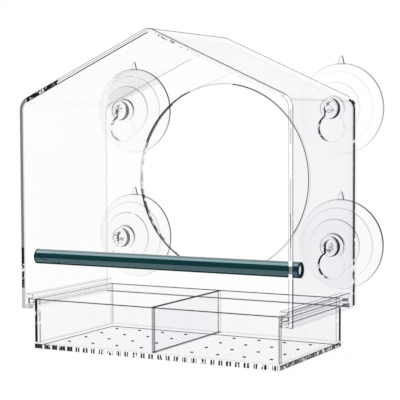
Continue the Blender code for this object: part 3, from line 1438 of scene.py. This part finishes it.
    def rail_side(self, centre: Vector, normal: Vector) -> Dress:
        """How a rail's face looks: speckled with painted shade at its front end, and dark at the lower right
        rail's rear end.

        Args:
            centre: the face's centre.
            normal: the face's normal.

        Returns:
            The face's dress.
        """
        if abs(normal.y) < SQUARE:
            return strip()
        if centre.y < 0:
            return speckle(0.6, 0.8)
        low = centre.z < self.base + self.sheet
        return line(0.75, 0.3) if centre.x > 0 and low else strip()

    def dress(self) -> None:
        """Build the house's pieces."""
        hood = place_piece(self.build_hood(), "hood_shell", "hood")
        self.cut_perch_holes(hood)
        place_piece(self.build_panel(), "back_panel_sheet", "back_panel")
        for node in sorted(n for n in frame["nodes"] if n.startswith("rail_")):
            Plate(node, strip(), self.rail_arris, self.rail_side).dress()


@dataclass
class Tray:
    """The seed tray: a floor with drain holes, four walls, a divider and two runners, whose cut faces wear
    lines and marks of painted shade.
    """

    drain_diameter: float = 2.5 * MM
    drain_pitch_x: float = 18 * MM
    drain_pitch_y: float = 19.3 * MM
    drain_columns: int = 4
    drain_rows: int = 4
    drain_segments: int = 20
    drain_line: float = 0.45 * MM
    drain_shade: float = 0.5
    drain_rim: float = 0.4
    sunk_low: float = 0.8 * MM
    sunk_high: float = 1.25 * MM
    face: Dress = glass(0.02)
    back_face: Dress = glass(0.024)
    arris: float = 0.35 * MM

    def __post_init__(self) -> None:
        """Take the tray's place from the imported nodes."""
        self.low, self.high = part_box("tray_floor")
        self.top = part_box("tray_front_wall")[1].z
        self.behind_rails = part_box("rail_lower_right")[0].z

    def drain_places(self) -> list[tuple]:
        """Lay out the drain holes on a grid without the column under the divider.

        Returns:
            Their centres in X and Y.
        """
        middle_y = (self.low.y + self.high.y) / 2
        places = []
        for column in range(-self.drain_columns, self.drain_columns + 1):
            for row in range(self.drain_rows if column else 0):
                y = middle_y + (row - (self.drain_rows - 1) / 2) * self.drain_pitch_y
                places.append((column * self.drain_pitch_x, y))
        return places

    def build_floor(self) -> Shape:
        """Cut the floor plate with its drain holes.

        Returns:
            The plate.
        """
        shape = new_shape()
        low, high = self.low, self.high
        outlines = [[(low.x, low.y), (high.x, low.y), (high.x, high.y), (low.x, high.y)]]
        for centre in self.drain_places():
            outlines.append(circle(centre, self.drain_diameter / 2, self.drain_segments))
        foot = low.z + self.arris
        bottom = fill_between(shape, [[(x, y, foot) for x, y in outline] for outline in outlines], (0, 0, 1))
        top = thicken(shape, bottom, (0, 0, high.z - low.z - 2 * self.arris))
        for split in (high.z - self.arris - self.drain_line, low.z + self.sunk_low, low.z + self.sunk_high):
            cut_across(shape, Axis.Z, split)
        bmesh.ops.recalc_face_normals(shape, faces=shape.faces)
        paint(shape, shape.faces, self.face)
        caps = set(bottom) | set(top)
        paint_each(shape, [f for f in shape.faces if f not in caps], self.floor_side)
        for cap in (bottom, top):
            paint_each(shape, raise_cap(shape, cap, self.arris, self.arris), self.floor_arris)
        return shape

    def floor_side(self, centre: Vector, normal: Vector) -> Dress:
        """How the floor's cut faces and the drain holes' walls look: lines of painted shade, darkest on the far
        wall of each hole.

        Args:
            centre: the face's centre.
            normal: the face's normal.

        Returns:
            The face's dress.
        """
        if abs(centre.y - self.low.y) < self.arris / 2:
            return Dress(Finish.MARKS)
        if abs(centre.x - self.high.x) < self.arris / 2:
            return speckle(0.9, 0.5)
        if abs(centre.x - self.low.x) < self.arris or abs(centre.y - self.high.y) < self.arris:
            return line(1.0, 0.1) if self.sunk_low < centre.z - self.low.z < self.sunk_high else glass(0.01)
        if centre.z > self.high.z - self.arris - self.drain_line and normal.y < -self.drain_shade:
            return line(0.9)
        return glass(0.002)

    def floor_arris(self, centre: Vector, normal: Vector) -> Dress:
        """How the floor's arrises and the drain holes' rims look: lines of painted shade, black at the far side
        of each hole's top rim.

        Args:
            centre: the face's centre.
            normal: the face's normal.

        Returns:
            The face's dress.
        """
        top = normal.z > 0
        reach = 2 * self.arris
        if abs(centre.y - self.low.y) < reach:
            return Dress(Finish.MARKS)
        if abs(centre.x - self.high.x) < reach:
            return speckle(1.0, 0.3)
        if abs(centre.y - self.high.y) < reach:
            return line(0.15 if top else 0.05)
        if abs(centre.x - self.low.x) < reach:
            return line(0.15 if top else 0.03)
        return line(1.0 if top and normal.y < -self.drain_rim else 0.02)

    def front_arris(self, centre: Vector, normal: Vector) -> Dress:
        """How the front wall's arrises look.

        Args:
            centre: the face's centre.
            normal: the face's normal.

        Returns:
            The face's dress.
        """
        if centre.z > self.top - self.arris:
            return line(1.0, 0.05) if normal.y < -TILTED else line(0.4)
        if abs(normal.x) > TILTED and abs(normal.z) < TILTED:
            return line(1.0, 0.3) if centre.x < 0 else line(0.65, 0.45)
        return line(0.1)

    def front_side(self, centre: Vector, normal: Vector) -> Dress:
        """How the front wall's faces look: its left end shows as a ragged dark streak of painted shade."""
        return line(1.0, 0.42) if normal.x < -SQUARE else self.face

    def back_arris(self, centre: Vector, normal: Vector) -> Dress:
        """How the back wall's arrises look.

        Args:
            centre: the face's centre.
            normal: the face's normal.

        Returns:
            The face's dress.
        """
        if centre.z > self.top - self.arris:
            return line(1.0, 0.03) if normal.y < -TILTED else line(0.2)
        if abs(normal.z) > TILTED:
            return line(0.12)
        if centre.x > 0 and centre.z > self.behind_rails:
            return line(0.12)
        return line(1.0 if centre.x > 0 else 0.5)

    def back_side(self, centre: Vector, normal: Vector) -> Dress:
        """How the back wall's faces look: its right end is a dark band of painted shade below the rails.

        Args:
            centre: the face's centre.
            normal: the face's normal.

        Returns:
            The face's dress.
        """
        if normal.x > SQUARE:
            return line(0.95, 0.1) if centre.z < self.behind_rails else self.face
        return self.back_face

    def side_arris(self, centre: Vector, normal: Vector) -> Dress:
        """How the left and right walls' arrises look.

        Args:
            centre: the face's centre.
            normal: the face's normal.

        Returns:
            The face's dress.
        """
        if abs(normal.z) > TILTED and centre.z < self.top / 2:
            return line(0.22)
        if abs(normal.y) < TILTED:
            return line(0.3)
        if centre.y < 0 and centre.x < 0:
            return line(0.7, 0.45)
        return line(0.45 if centre.x > 0 else 0.2, 0.4)

    def left_side(self, centre: Vector, normal: Vector) -> Dress:
        """How the left wall's faces look: its front end shows blots of painted shade through the front wall."""
        return speckle(1.0, 0.9) if normal.y < -SQUARE else self.face

    def divider_arris(self, centre: Vector, normal: Vector) -> Dress:
        """How the divider's arrises look."""
        return line(1.0, 0.05) if abs(normal.z) > TILTED else line(0.75)

    def divider_side(self, centre: Vector, normal: Vector) -> Dress:
        """How the divider's faces look: its front end is an even grey band of painted shade."""
        return line(0.55) if abs(normal.y) > SQUARE and centre.y < 0 else self.face

    def runner_arris(self, centre: Vector, normal: Vector) -> Dress:
        """How a runner's arrises look.

        Args:
            centre: the face's centre.
            normal: the face's normal.

        Returns:
            The face's dress.
        """
        if abs(normal.y) > TILTED:
            return line(0.8, 0.5) if centre.y < 0 else line(0.1)
        return long_arris(centre, normal)

    def runner_side(self, centre: Vector, normal: Vector) -> Dress:
        """How a runner's faces look: painted shade, speckled at its front end and dark at the right one's rear
        end.

        Args:
            centre: the face's centre.
            normal: the face's normal.

        Returns:
            The face's dress.
        """
        if abs(normal.y) < SQUARE:
            return strip()
        if centre.y < 0:
            return speckle(0.8, 0.7)
        return line(0.75, 0.3) if centre.x > 0 else strip()

    def dress(self) -> None:
        """Build the tray's pieces."""
        place_piece(self.build_floor(), "tray_floor_plate", "tray_floor")
        Plate("tray_front_wall", self.face, self.front_arris, self.front_side).dress()
        cut = self.behind_rails
        Plate("tray_back_wall", self.back_face, self.back_arris, self.back_side, cut_z=cut).dress()
        Plate("tray_left_wall", self.face, self.side_arris, self.left_side).dress()
        Plate("tray_right_wall", glass(0.016), self.side_arris).dress()
        Plate("tray_divider", glass(0.013), self.divider_arris, self.divider_side).dress()
        for node in ("tray_runner_left", "tray_runner_right"):
            Plate(node, strip(), self.runner_arris, self.runner_side).dress()


@dataclass
class Perch:
    """The hollow teal tube, with a thin dark line of painted shade round it at the left wall."""

    bore: float = 6.5 * MM
    lit_from: float = 1.5 * MM
    lit_to: float = 3.1 * MM
    inside_wall: float = 92 * MM
    left_line: float = 0.8 * MM
    edge_break: float = 0.4 * MM
    segments: int = 72
    break_segments: int = 4

    def __post_init__(self) -> None:
        """Take the perch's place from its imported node."""
        self.low, self.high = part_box("perch_tube")
        self.middle = (self.low + self.high) / 2

    def profile(self) -> list[tuple]:
        """Half of the tube's section.

        Returns:
            Points: X and the distance from the tube's axis.
        """
        low, high, bore = self.low.x, self.high.x, self.bore / 2
        radius = (self.high.z - self.low.z) / 2
        rounding, outer = self.edge_break, radius - self.edge_break
        depths = (0, self.lit_from, self.lit_to, 2 * self.lit_to)
        left = arc((low + rounding, outer), rounding, math.pi, math.pi / 2, self.break_segments)
        right = arc((high - rounding, outer), rounding, math.pi / 2, 0, self.break_segments)
        ring = [(-self.inside_wall, radius), (self.left_line - self.inside_wall, radius)]
        left_bore = [(low + depth, bore) for depth in reversed(depths)]
        return [*left_bore, *left, *ring, *right, *((high - depth, bore) for depth in depths)]

    def look(self, centre: Vector, normal: Vector) -> Dress:
        """How the tube looks: teal, with a pale ring of painted highlight inside each end, and painted shade
        inside and on its edges.

        Args:
            centre: the face's centre.
            normal: not used.

        Returns:
            The face's dress.
        """
        reach = math.hypot(centre.y - self.middle.y, centre.z - self.middle.z)
        end = min(centre.x - self.low.x, self.high.x - centre.x)
        inside = reach < self.bore / 2 + self.edge_break / 2
        # The pale ring inside each end is a painted highlight.
        if inside and self.lit_from < end < self.lit_to:
            return Dress(Finish.BORE)
        # Painted shade: the rest of the inside, the rounded edges at both ends and a ring at the left wall are
        # black.
        at_wall = -self.inside_wall < centre.x < self.left_line - self.inside_wall
        return line(1.0) if inside or end < self.edge_break or at_wall else Dress(Finish.TEAL)

    def build(self) -> Shape:
        """Spin the tube about its axis.

        Returns:
            The tube.
        """
        shape = new_shape()
        middle = self.middle
        section = add_loop(shape, [(x, middle.y, middle.z + reach) for x, reach in self.profile()])
        spin_round(shape, section, middle, Axis.X, self.segments)
        paint_each(shape, shape.faces, self.look)
        return shape

    def dress(self) -> None:
        """Build the perch's piece."""
        place_piece(self.build(), "perch_rod", "perch_tube")


@dataclass(frozen=True)
class Stroke:
    """A dark line of painted shade round a cup, which is strongest on the side towards an angle in degrees."""

    painted_light: float
    breaks: float = 0.1
    towards: float = 25
    least: float = 0.1
    power: float = 1.5

    def dress(self, angle: float, strength: float) -> Dress:
        """The line's dress at an angle in radians round the cup, drawn at a strength."""
        shaded = 0.5 + 0.5 * math.cos(angle - math.radians(self.towards))
        return line(self.painted_light * (self.least + (1 - self.least) * shaded**self.power) * strength, self.breaks)


class Strokes(Enum):
    """The lines of painted shade that show on a cup."""

    SOFT = None
    DIMPLE = Stroke(0.45, 0.6, 60, 0.4)
    HEAD_RIM = Stroke(1.0, 0.3, -20, 0.05, 1.2)
    NECK = Stroke(0.25, 0.5, 0)
    BOSS = Stroke(1.0, 0.1, 40, 0.01, 3)
    BOSS_EDGE = Stroke(0.5, 0.3, 40, 0.03, 3)
    RING = Stroke(0.6, 0.15, 50, 0.04, 1.6)
    OUTER_RING = Stroke(0.38, 0.2, 50, 0.04, 1.4)
    RIM = Stroke(1.0, 0.05, 30, 0.04, 1.8)
    RIM_SIDE = Stroke(0.8, 0.1, 20, 0.02, 2.5)


@dataclass(frozen=True)
class CupLook:
    """How strongly one cup's veil and its lines of painted shade show."""

    cloud: float = 0.02
    boss_shade: float = 1.0
    rim_shade: float = 1.0
    head_shade: float = 1.0
    head_breaks: float = 0.1
    open_veil: float = 0.0


CUP_LOOKS = {
    "cup_upper_left": CupLook(rim_shade=0.95, head_shade=0.8, head_breaks=0.35, open_veil=0.12),
    "cup_lower_left": CupLook(cloud=0.03, rim_shade=0.85, head_shade=0.8, head_breaks=0.35, open_veil=0.12),
    "cup_upper_right": CupLook(cloud=0.004, boss_shade=0.4, rim_shade=0.7),
    "cup_lower_right": CupLook(cloud=0.035),
}


@dataclass
class SuctionCup:
    """A clear moulded cup with its neck, its mushroom head and its pull tab."""

    node: str
    diameter: float = 59 * MM
    depth: float = 13 * MM
    wall: float = 1.6 * MM
    ring_step: float = 0.3 * MM
    outer_ring_inset: float = 5.8 * MM
    inner_ring_inset: float = 12.9 * MM
    lip_width: float = 2 * MM
    lip_thickness: float = 1 * MM
    lip_rounding: float = 0.2 * MM
    rim_height: float = 0.3 * MM
    boss_diameter: float = 17.3 * MM
    boss_height: float = 1 * MM
    boss_foot_inset: float = 1.3 * MM
    boss_line_inset: float = 0.4 * MM
    boss_line_rise: float = 0.3 * MM
    head_diameter: float = 13.4 * MM
    head_height: float = 4.6 * MM
    head_rim_height: float = 1.4 * MM
    head_flat: float = 0.4
    neck_diameter: float = 7.6 * MM
    sheet: float = 3 * MM
    clearance: float = 0.3 * MM
    tab_width: float = 5 * MM
    tab_tip_width: float = 2.6 * MM
    tab_length: float = 5 * MM
    tab_thickness: float = 0.7 * MM
    tab_line: float = 0.45 * MM
    tab_chamfer: float = 0.15 * MM
    dimple_radius: float = 1.3 * MM
    dimple_depth: float = 0.5 * MM
    dimple_rim: float = 0.1 * MM
    line_width: float = 0.65 * MM
    dome_steps: int = 5
    inside_steps: int = 8
    head_steps: int = 12
    tip_steps: int = 12
    segments: int = 120
    panel_shoulder: float = 154 * MM
    half_house: float = 95 * MM
    crescent_depth: float = 0.115
    crescent_fade: float = 0.09
    crescent_towards: float = math.radians(-8)
    crescent_power: float = 0.7
    squiggle_reach: float = 0.7
    squiggle_shade: float = 0.75
    squiggle_power: float = 4
    squiggle_breaks: float = 0.7
    squiggle_limit: float = 0.2

    def __post_init__(self) -> None:
        """Take the cup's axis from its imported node."""
        low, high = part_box(self.node)
        self.looks = CUP_LOOKS[self.node]
        self.radius = self.diameter / 2
        self.axis = Vector(((low.x + high.x) / 2, 0, low.z + self.radius))
        self.panel_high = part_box("back_panel")[1]
        self.rim = high.y
        self.dome = (self.radius**2 + self.depth**2) / (2 * self.depth)
        self.seat = self.panel_high.y + self.clearance
        self.head_base = self.panel_high.y - self.sheet - self.clearance
        self.head_front = self.head_base - self.head_rim_height / 2

    def sag(self, reach: float) -> float:
        """How far the dome has fallen away from its crown at this distance from the axis."""
        return self.dome - math.sqrt(self.dome**2 - reach**2)

    def head_profile(self) -> list[tuple[float, float, Strokes]]:
        """The section of the head and the neck, from the head's middle.

        Returns:
            Points: the distance from the axis, Y, and the line that the stretch ending there shows.
        """
        soft = Strokes.SOFT
        head, neck = self.head_diameter / 2, self.neck_diameter / 2
        crest = self.head_base - self.head_height
        rise = self.head_height - self.head_rim_height
        points = [
            (0.0, crest + self.dimple_depth, soft),
            (self.dimple_radius, crest + self.dimple_depth, soft),
            (self.dimple_radius + self.dimple_depth, crest + self.dimple_rim, Strokes.DIMPLE),
        ]
        for x, y in arc((0, 0), 1, math.pi / 2 - self.head_flat, 0, self.head_steps):
            points.append((x * head, self.head_base - self.head_rim_height - y * rise, soft))
        points.append((head, self.head_base, Strokes.HEAD_RIM))
        points.append((neck, self.head_base, soft))
        points.append((neck, self.seat, Strokes.NECK))
        return points

    def profile(self) -> list[tuple[float, float, Strokes]]:
        """Half of the cup's section, from the head's middle round to the inside of the dome.

        Returns:
            Points: the distance from the axis, Y, and the line that the stretch ending there shows.
        """
        soft = Strokes.SOFT
        boss = self.boss_diameter / 2
        crown = self.seat + self.boss_height - self.sag(boss)
        points = self.head_profile()
        points.append((boss - self.boss_foot_inset, self.seat, soft))
        points.append((boss - self.boss_line_inset, self.seat, Strokes.BOSS))
        points.append((boss, self.seat + self.boss_line_rise, Strokes.BOSS_EDGE))
        points.append((boss, crown + self.sag(boss), soft))
        here = boss
        rings = (
            (self.radius - self.inner_ring_inset, Strokes.RING),
            (self.radius - self.outer_ring_inset, Strokes.OUTER_RING),
            (self.radius, soft),
        )
        for ring, stroke in rings:
            for i in range(1, self.dome_steps + 1):
                reach = here + (ring - here) * i / self.dome_steps
                points.append((reach, crown + self.sag(reach), soft))
            if stroke is not soft:
                crown += self.ring_step
                points.append((ring + self.line_width, crown + self.sag(ring), stroke))
            here = ring
        edge = points[-1][1]
        points[-1] = (self.radius - self.line_width, edge, soft)
        points.append((self.radius, edge + self.rim_height, Strokes.RIM))
        points.append((self.radius, self.rim - self.lip_rounding, Strokes.RIM_SIDE))
        points.append((self.radius - self.lip_rounding, self.rim, soft))
        inner = self.radius - self.lip_width
        points.append((inner, self.rim, soft))
        for i in range(self.inside_steps, -1, -1):
            reach = inner * i / self.inside_steps
            points.append((reach, crown + self.wall + self.sag(reach), soft))
        return points

    def roof_line(self, x: float) -> float:
        """The height of the panel's sloping edge over this X."""
        rise = (self.panel_high.z - self.panel_shoulder) / self.panel_high.x
        return self.panel_shoulder + (self.panel_high.x - abs(x)) * rise

    def look(self, stroke: Strokes, centre: Vector) -> Dress:
        """What a face of the cup wears.

        Args:
            stroke: the line that its stretch of the section shows.
            centre: the face's centre.

        Returns:
            The face's dress.
        """
        if stroke.value:
            angle = math.atan2(centre.z - self.axis.z, centre.x - self.axis.x)
            inner = stroke in (Strokes.BOSS, Strokes.BOSS_EDGE, Strokes.RING, Strokes.OUTER_RING)
            return stroke.value.dress(angle, self.looks.boss_shade if inner else self.looks.rim_shade)
        if centre.y < self.head_front:
            return speckle(1.0, 0.3)
        above = abs(centre.x) < self.half_house and centre.z > self.roof_line(centre.x)
        return Dress(Finish.VINYL, veil=self.looks.cloud + (self.looks.open_veil if above else 0))

    def shade_head(self, shape: Shape) -> None:
        """Paint shade on the head corner by corner: a dark crescent at the right, a broken one at the left, and
        broken dark marks near the middle.

        Args:
            shape: the cup's shape.
        """
        painted_light, breaks = (shape.loops.layers.float[name] for name in (PAINTED_LIGHT, BREAKS))
        corners = [c for f in shape.faces if f.calc_center_median().y < self.head_front for c in f.loops]
        for corner in corners:
            across = corner.vert.co - self.axis
            reach = math.hypot(across.x, across.z) / (self.head_diameter / 2)
            angle = math.atan2(across.z, across.x)
            right = max(0.0, math.cos(angle - self.crescent_towards)) ** self.crescent_power
            dark = (reach - 1 + self.crescent_depth * right) / self.crescent_fade + 0.5
            inner = max(0.0, 1 - (reach / self.squiggle_reach) ** self.squiggle_power)
            corner[painted_light] = min(self.looks.head_shade, max(self.squiggle_shade * inner, dark))
            corner[breaks] = self.looks.head_breaks if dark > self.squiggle_limit else self.squiggle_breaks

    def add_tab(self, shape: Shape) -> None:
        """Add the pull tab, which narrows to a round tip above the rim.

        Args:
            shape: the cup's shape.
        """
        half, tip = self.tab_width / 2, self.tab_tip_width / 2
        top = self.axis.z + self.radius
        root = top - self.lip_width / 2
        outline = [(self.axis.x - half, root), (self.axis.x + half, root)]
        outline += arc((self.axis.x, top + self.tab_length - tip), tip, 0, math.pi, self.tip_steps)
        front_y = self.rim - (self.lip_thickness + self.tab_thickness) / 2 + self.tab_chamfer
        edges = add_loop(shape, [(x, front_y, z) for x, z in outline])
        front = bmesh.ops.contextual_create(shape, geom=edges)["faces"]
        rear = thicken(shape, front, (0, self.tab_thickness - 2 * self.tab_chamfer, 0))
        made = {f for face in [*front, *rear] for v in face.verts for f in v.link_faces}
        bmesh.ops.recalc_face_normals(shape, faces=list(made))
        # Painted shade: the tab's sides and chamfers that face right are black, the rest faint.
        for face in made:
            paint(shape, [face], line(1.0 if face.normal.x > TILTED else 0.15, 0.2))
        for cap in (front, rear):
            paint(shape, cap, Dress(Finish.VINYL, veil=0.04))
            for face in raise_cap(shape, cap, self.tab_line, self.tab_chamfer):
                right = face.calc_center_median().x > self.axis.x + self.tab_line
                paint(shape, [face], line(1.0 if right else 0.2, 0.15))

    def build(self) -> Shape:
        """Spin the moulding about its axis, and add the pull tab.

        Returns:
            The cup.
        """
        shape = new_shape()
        profile = self.profile()
        section = add_loop(shape, [(self.axis.x + r, y, self.axis.z) for r, y, _ in profile], closed=False)
        spin_round(shape, section, self.axis, Axis.Y, self.segments)
        stretches = [((Vector(a[:2]) + Vector(b[:2])) / 2, b[2]) for a, b in zip(profile, profile[1:])]
        for face in shape.faces:
            centre = face.calc_center_median()
            here = Vector((math.hypot(centre.x - self.axis.x, centre.z - self.axis.z), centre.y))
            stroke = min(stretches, key=lambda stretch: (stretch[0] - here).length)[1]
            paint(shape, [face], self.look(stroke, centre))
        self.shade_head(shape)
        self.add_tab(shape)
        return shape

    def dress(self) -> None:
        """Build the cup's piece."""
        place_piece(self.build(), f"{self.node}_moulding", self.node, 40)


@dataclass(frozen=True)
class Card:
    """A card that only reflections see."""

    name: str
    low: tuple[float, float, float]
    high: tuple[float, float, float]
    brightness: float = 0.0

    def build(self) -> None:
        """Make the card and set what can see it."""
        card = mesh_object(self.name, block(self.low, self.high))
        material, graph = new_graph(self.name)
        graph.end(graph.node("ShaderNodeEmission", {}, {"Color": WHITE, "Strength": self.brightness}))
        card.data.materials.append(material)
        for ray in ("camera", "diffuse", "transmission", "volume_scatter", "shadow"):
            setattr(card, f"visible_{ray}", False)


CARDS = (
    Card("dark_front", (-2.2, -1.02, 0.0), (1.5, -1.0, 1.62)),
    Card("dark_floor", (-2.2, -1.0, 0.001), (1.5, -0.22, 0.002)),
    Card("dark_rear", (-2.2, -0.04, 0.001), (1.5, 1.2, 0.002)),
    Card("bright_top", (-2.2, -0.7, 1.16), (1.5, 0.1, 1.18), 3.9),
    Card("soft_top", (-2.2, 0.1, 1.16), (1.5, 0.9, 1.18), 1.5),
)


@dataclass
class Studio:
    """A white floor and backdrop, a soft lamp, the cards that give the perch its bands, and the camera."""

    floor_half: float = 6.0
    floor_tint: tuple[float, float, float, float] = (0.9, 0.9, 0.9, 1)
    floor_glow: float = 1.005
    shadow_share: float = 0.06
    surround: float = 0.95
    lamp_size: tuple[float, float] = (1.6, 1.2)
    lamp_power: float = 4
    lamp_place: tuple[float, float, float] = (-0.3, -0.4, 1.5)
    lamp_aim: tuple[float, float, float] = (0, 0, 0.1)
    camera_place: tuple[float, float, float] = (0.3963, -0.72853, 0.14235)
    camera_yaw: float = 0.4935
    camera_pitch: float = 0.0583
    camera_roll: float = -0.0042
    camera_near: float = 10 * MM
    lens: float = 116.55
    sensor: float = 36.0
    clear_layers: int = 64

    def seen(self, graph: Graph) -> Signal:
        """1 for a camera ray and for what is seen in a reflection or through clear plastic.

        Args:
            graph: the graph that asks.

        Returns:
            The signal, 0 for all other rays.
        """
        kinds = [f"Is {kind} Ray" for kind in ("Camera", "Glossy", "Transmission")]
        rays = [graph.node("ShaderNodeLightPath", {}, {}, kind) for kind in kinds]
        return (rays[0] + rays[1] + rays[2]).clamped()

    def build_world(self) -> None:
        """A white surround for the camera and for reflections, and a plain level of light for the rest."""
        world = bpy.data.worlds.new("surround")
        bpy.context.scene.world = world
        world.use_nodes = True
        graph = Graph(world.node_tree)
        strength = self.surround + (1 - self.surround) * self.seen(graph)
        background = graph.node("ShaderNodeBackground", {}, {"Color": WHITE, "Strength": strength})
        graph.end(background, "ShaderNodeOutputWorld")

    def build_floor(self) -> None:
        """The floor, which keeps a soft shadow."""
        shape = new_shape()
        bmesh.ops.create_grid(shape, x_segments=1, y_segments=1, size=self.floor_half)
        floor = mesh_object("floor", shape)
        material, graph = new_graph("floor")
        plain = graph.node("ShaderNodeBsdfDiffuse", {}, {"Color": self.floor_tint})
        white = graph.node("ShaderNodeEmission", {}, {"Color": WHITE, "Strength": self.floor_glow})
        share = self.seen(graph) * (1 - self.shadow_share)
        graph.end(graph.node("ShaderNodeMixShader", {}, {0: share, 1: plain, 2: white}))
        floor.data.materials.append(material)

    def build_lamp(self) -> None:
        """One large soft lamp above."""
        lamp = bpy.data.lights.new("overhead", "AREA")
        lamp.shape = "RECTANGLE"
        lamp.size, lamp.size_y = self.lamp_size
        lamp.energy = self.lamp_power
        item = add_object("overhead", lamp)
        item.location = self.lamp_place
        item.rotation_euler = (Vector(self.lamp_aim) - item.location).to_track_quat("-Z", "Y").to_euler()
        item.visible_glossy = False

    def build_camera(self) -> None:
        """The camera, at the photograph's viewing angle."""
        camera = bpy.data.cameras.new("camera")
        camera.lens = self.lens
        camera.sensor_width = self.sensor
        camera.clip_start = self.camera_near
        yaw, pitch, roll = self.camera_yaw, self.camera_pitch, self.camera_roll
        ahead = Vector((-math.sin(yaw) * math.cos(pitch), math.cos(yaw) * math.cos(pitch), -math.sin(pitch)))
        level = Vector((math.cos(yaw), math.sin(yaw), 0))
        rise = level.cross(ahead)
        right = level * math.cos(roll) + rise * math.sin(roll)
        up = rise * math.cos(roll) - level * math.sin(roll)
        turn = Matrix((right, up, -ahead)).transposed().to_4x4()
        item = add_object("camera", camera)
        item.matrix_world = Matrix.Translation(self.camera_place) @ turn
        bpy.context.scene.camera = item

    def build(self) -> None:
        """Set the whole stage."""
        scene = bpy.context.scene
        scene.view_settings.view_transform = "Standard"
        scene.cycles.transparent_max_bounces = self.clear_layers
        self.build_camera()
        self.build_world()
        self.build_floor()
        self.build_lamp()
        for card in CARDS:
            card.build()


def main() -> None:
    """Build the feeder and its stage."""
    logging.basicConfig(level=logging.INFO, format="%(message)s")
    Studio().build()
    cups = [SuctionCup(node) for node in sorted(CUP_LOOKS)]
    House(cups).dress()
    Perch().dress()
    Tray().dress()
    for cup in cups:
        cup.dress()


if __name__ == "__main__":
    main()
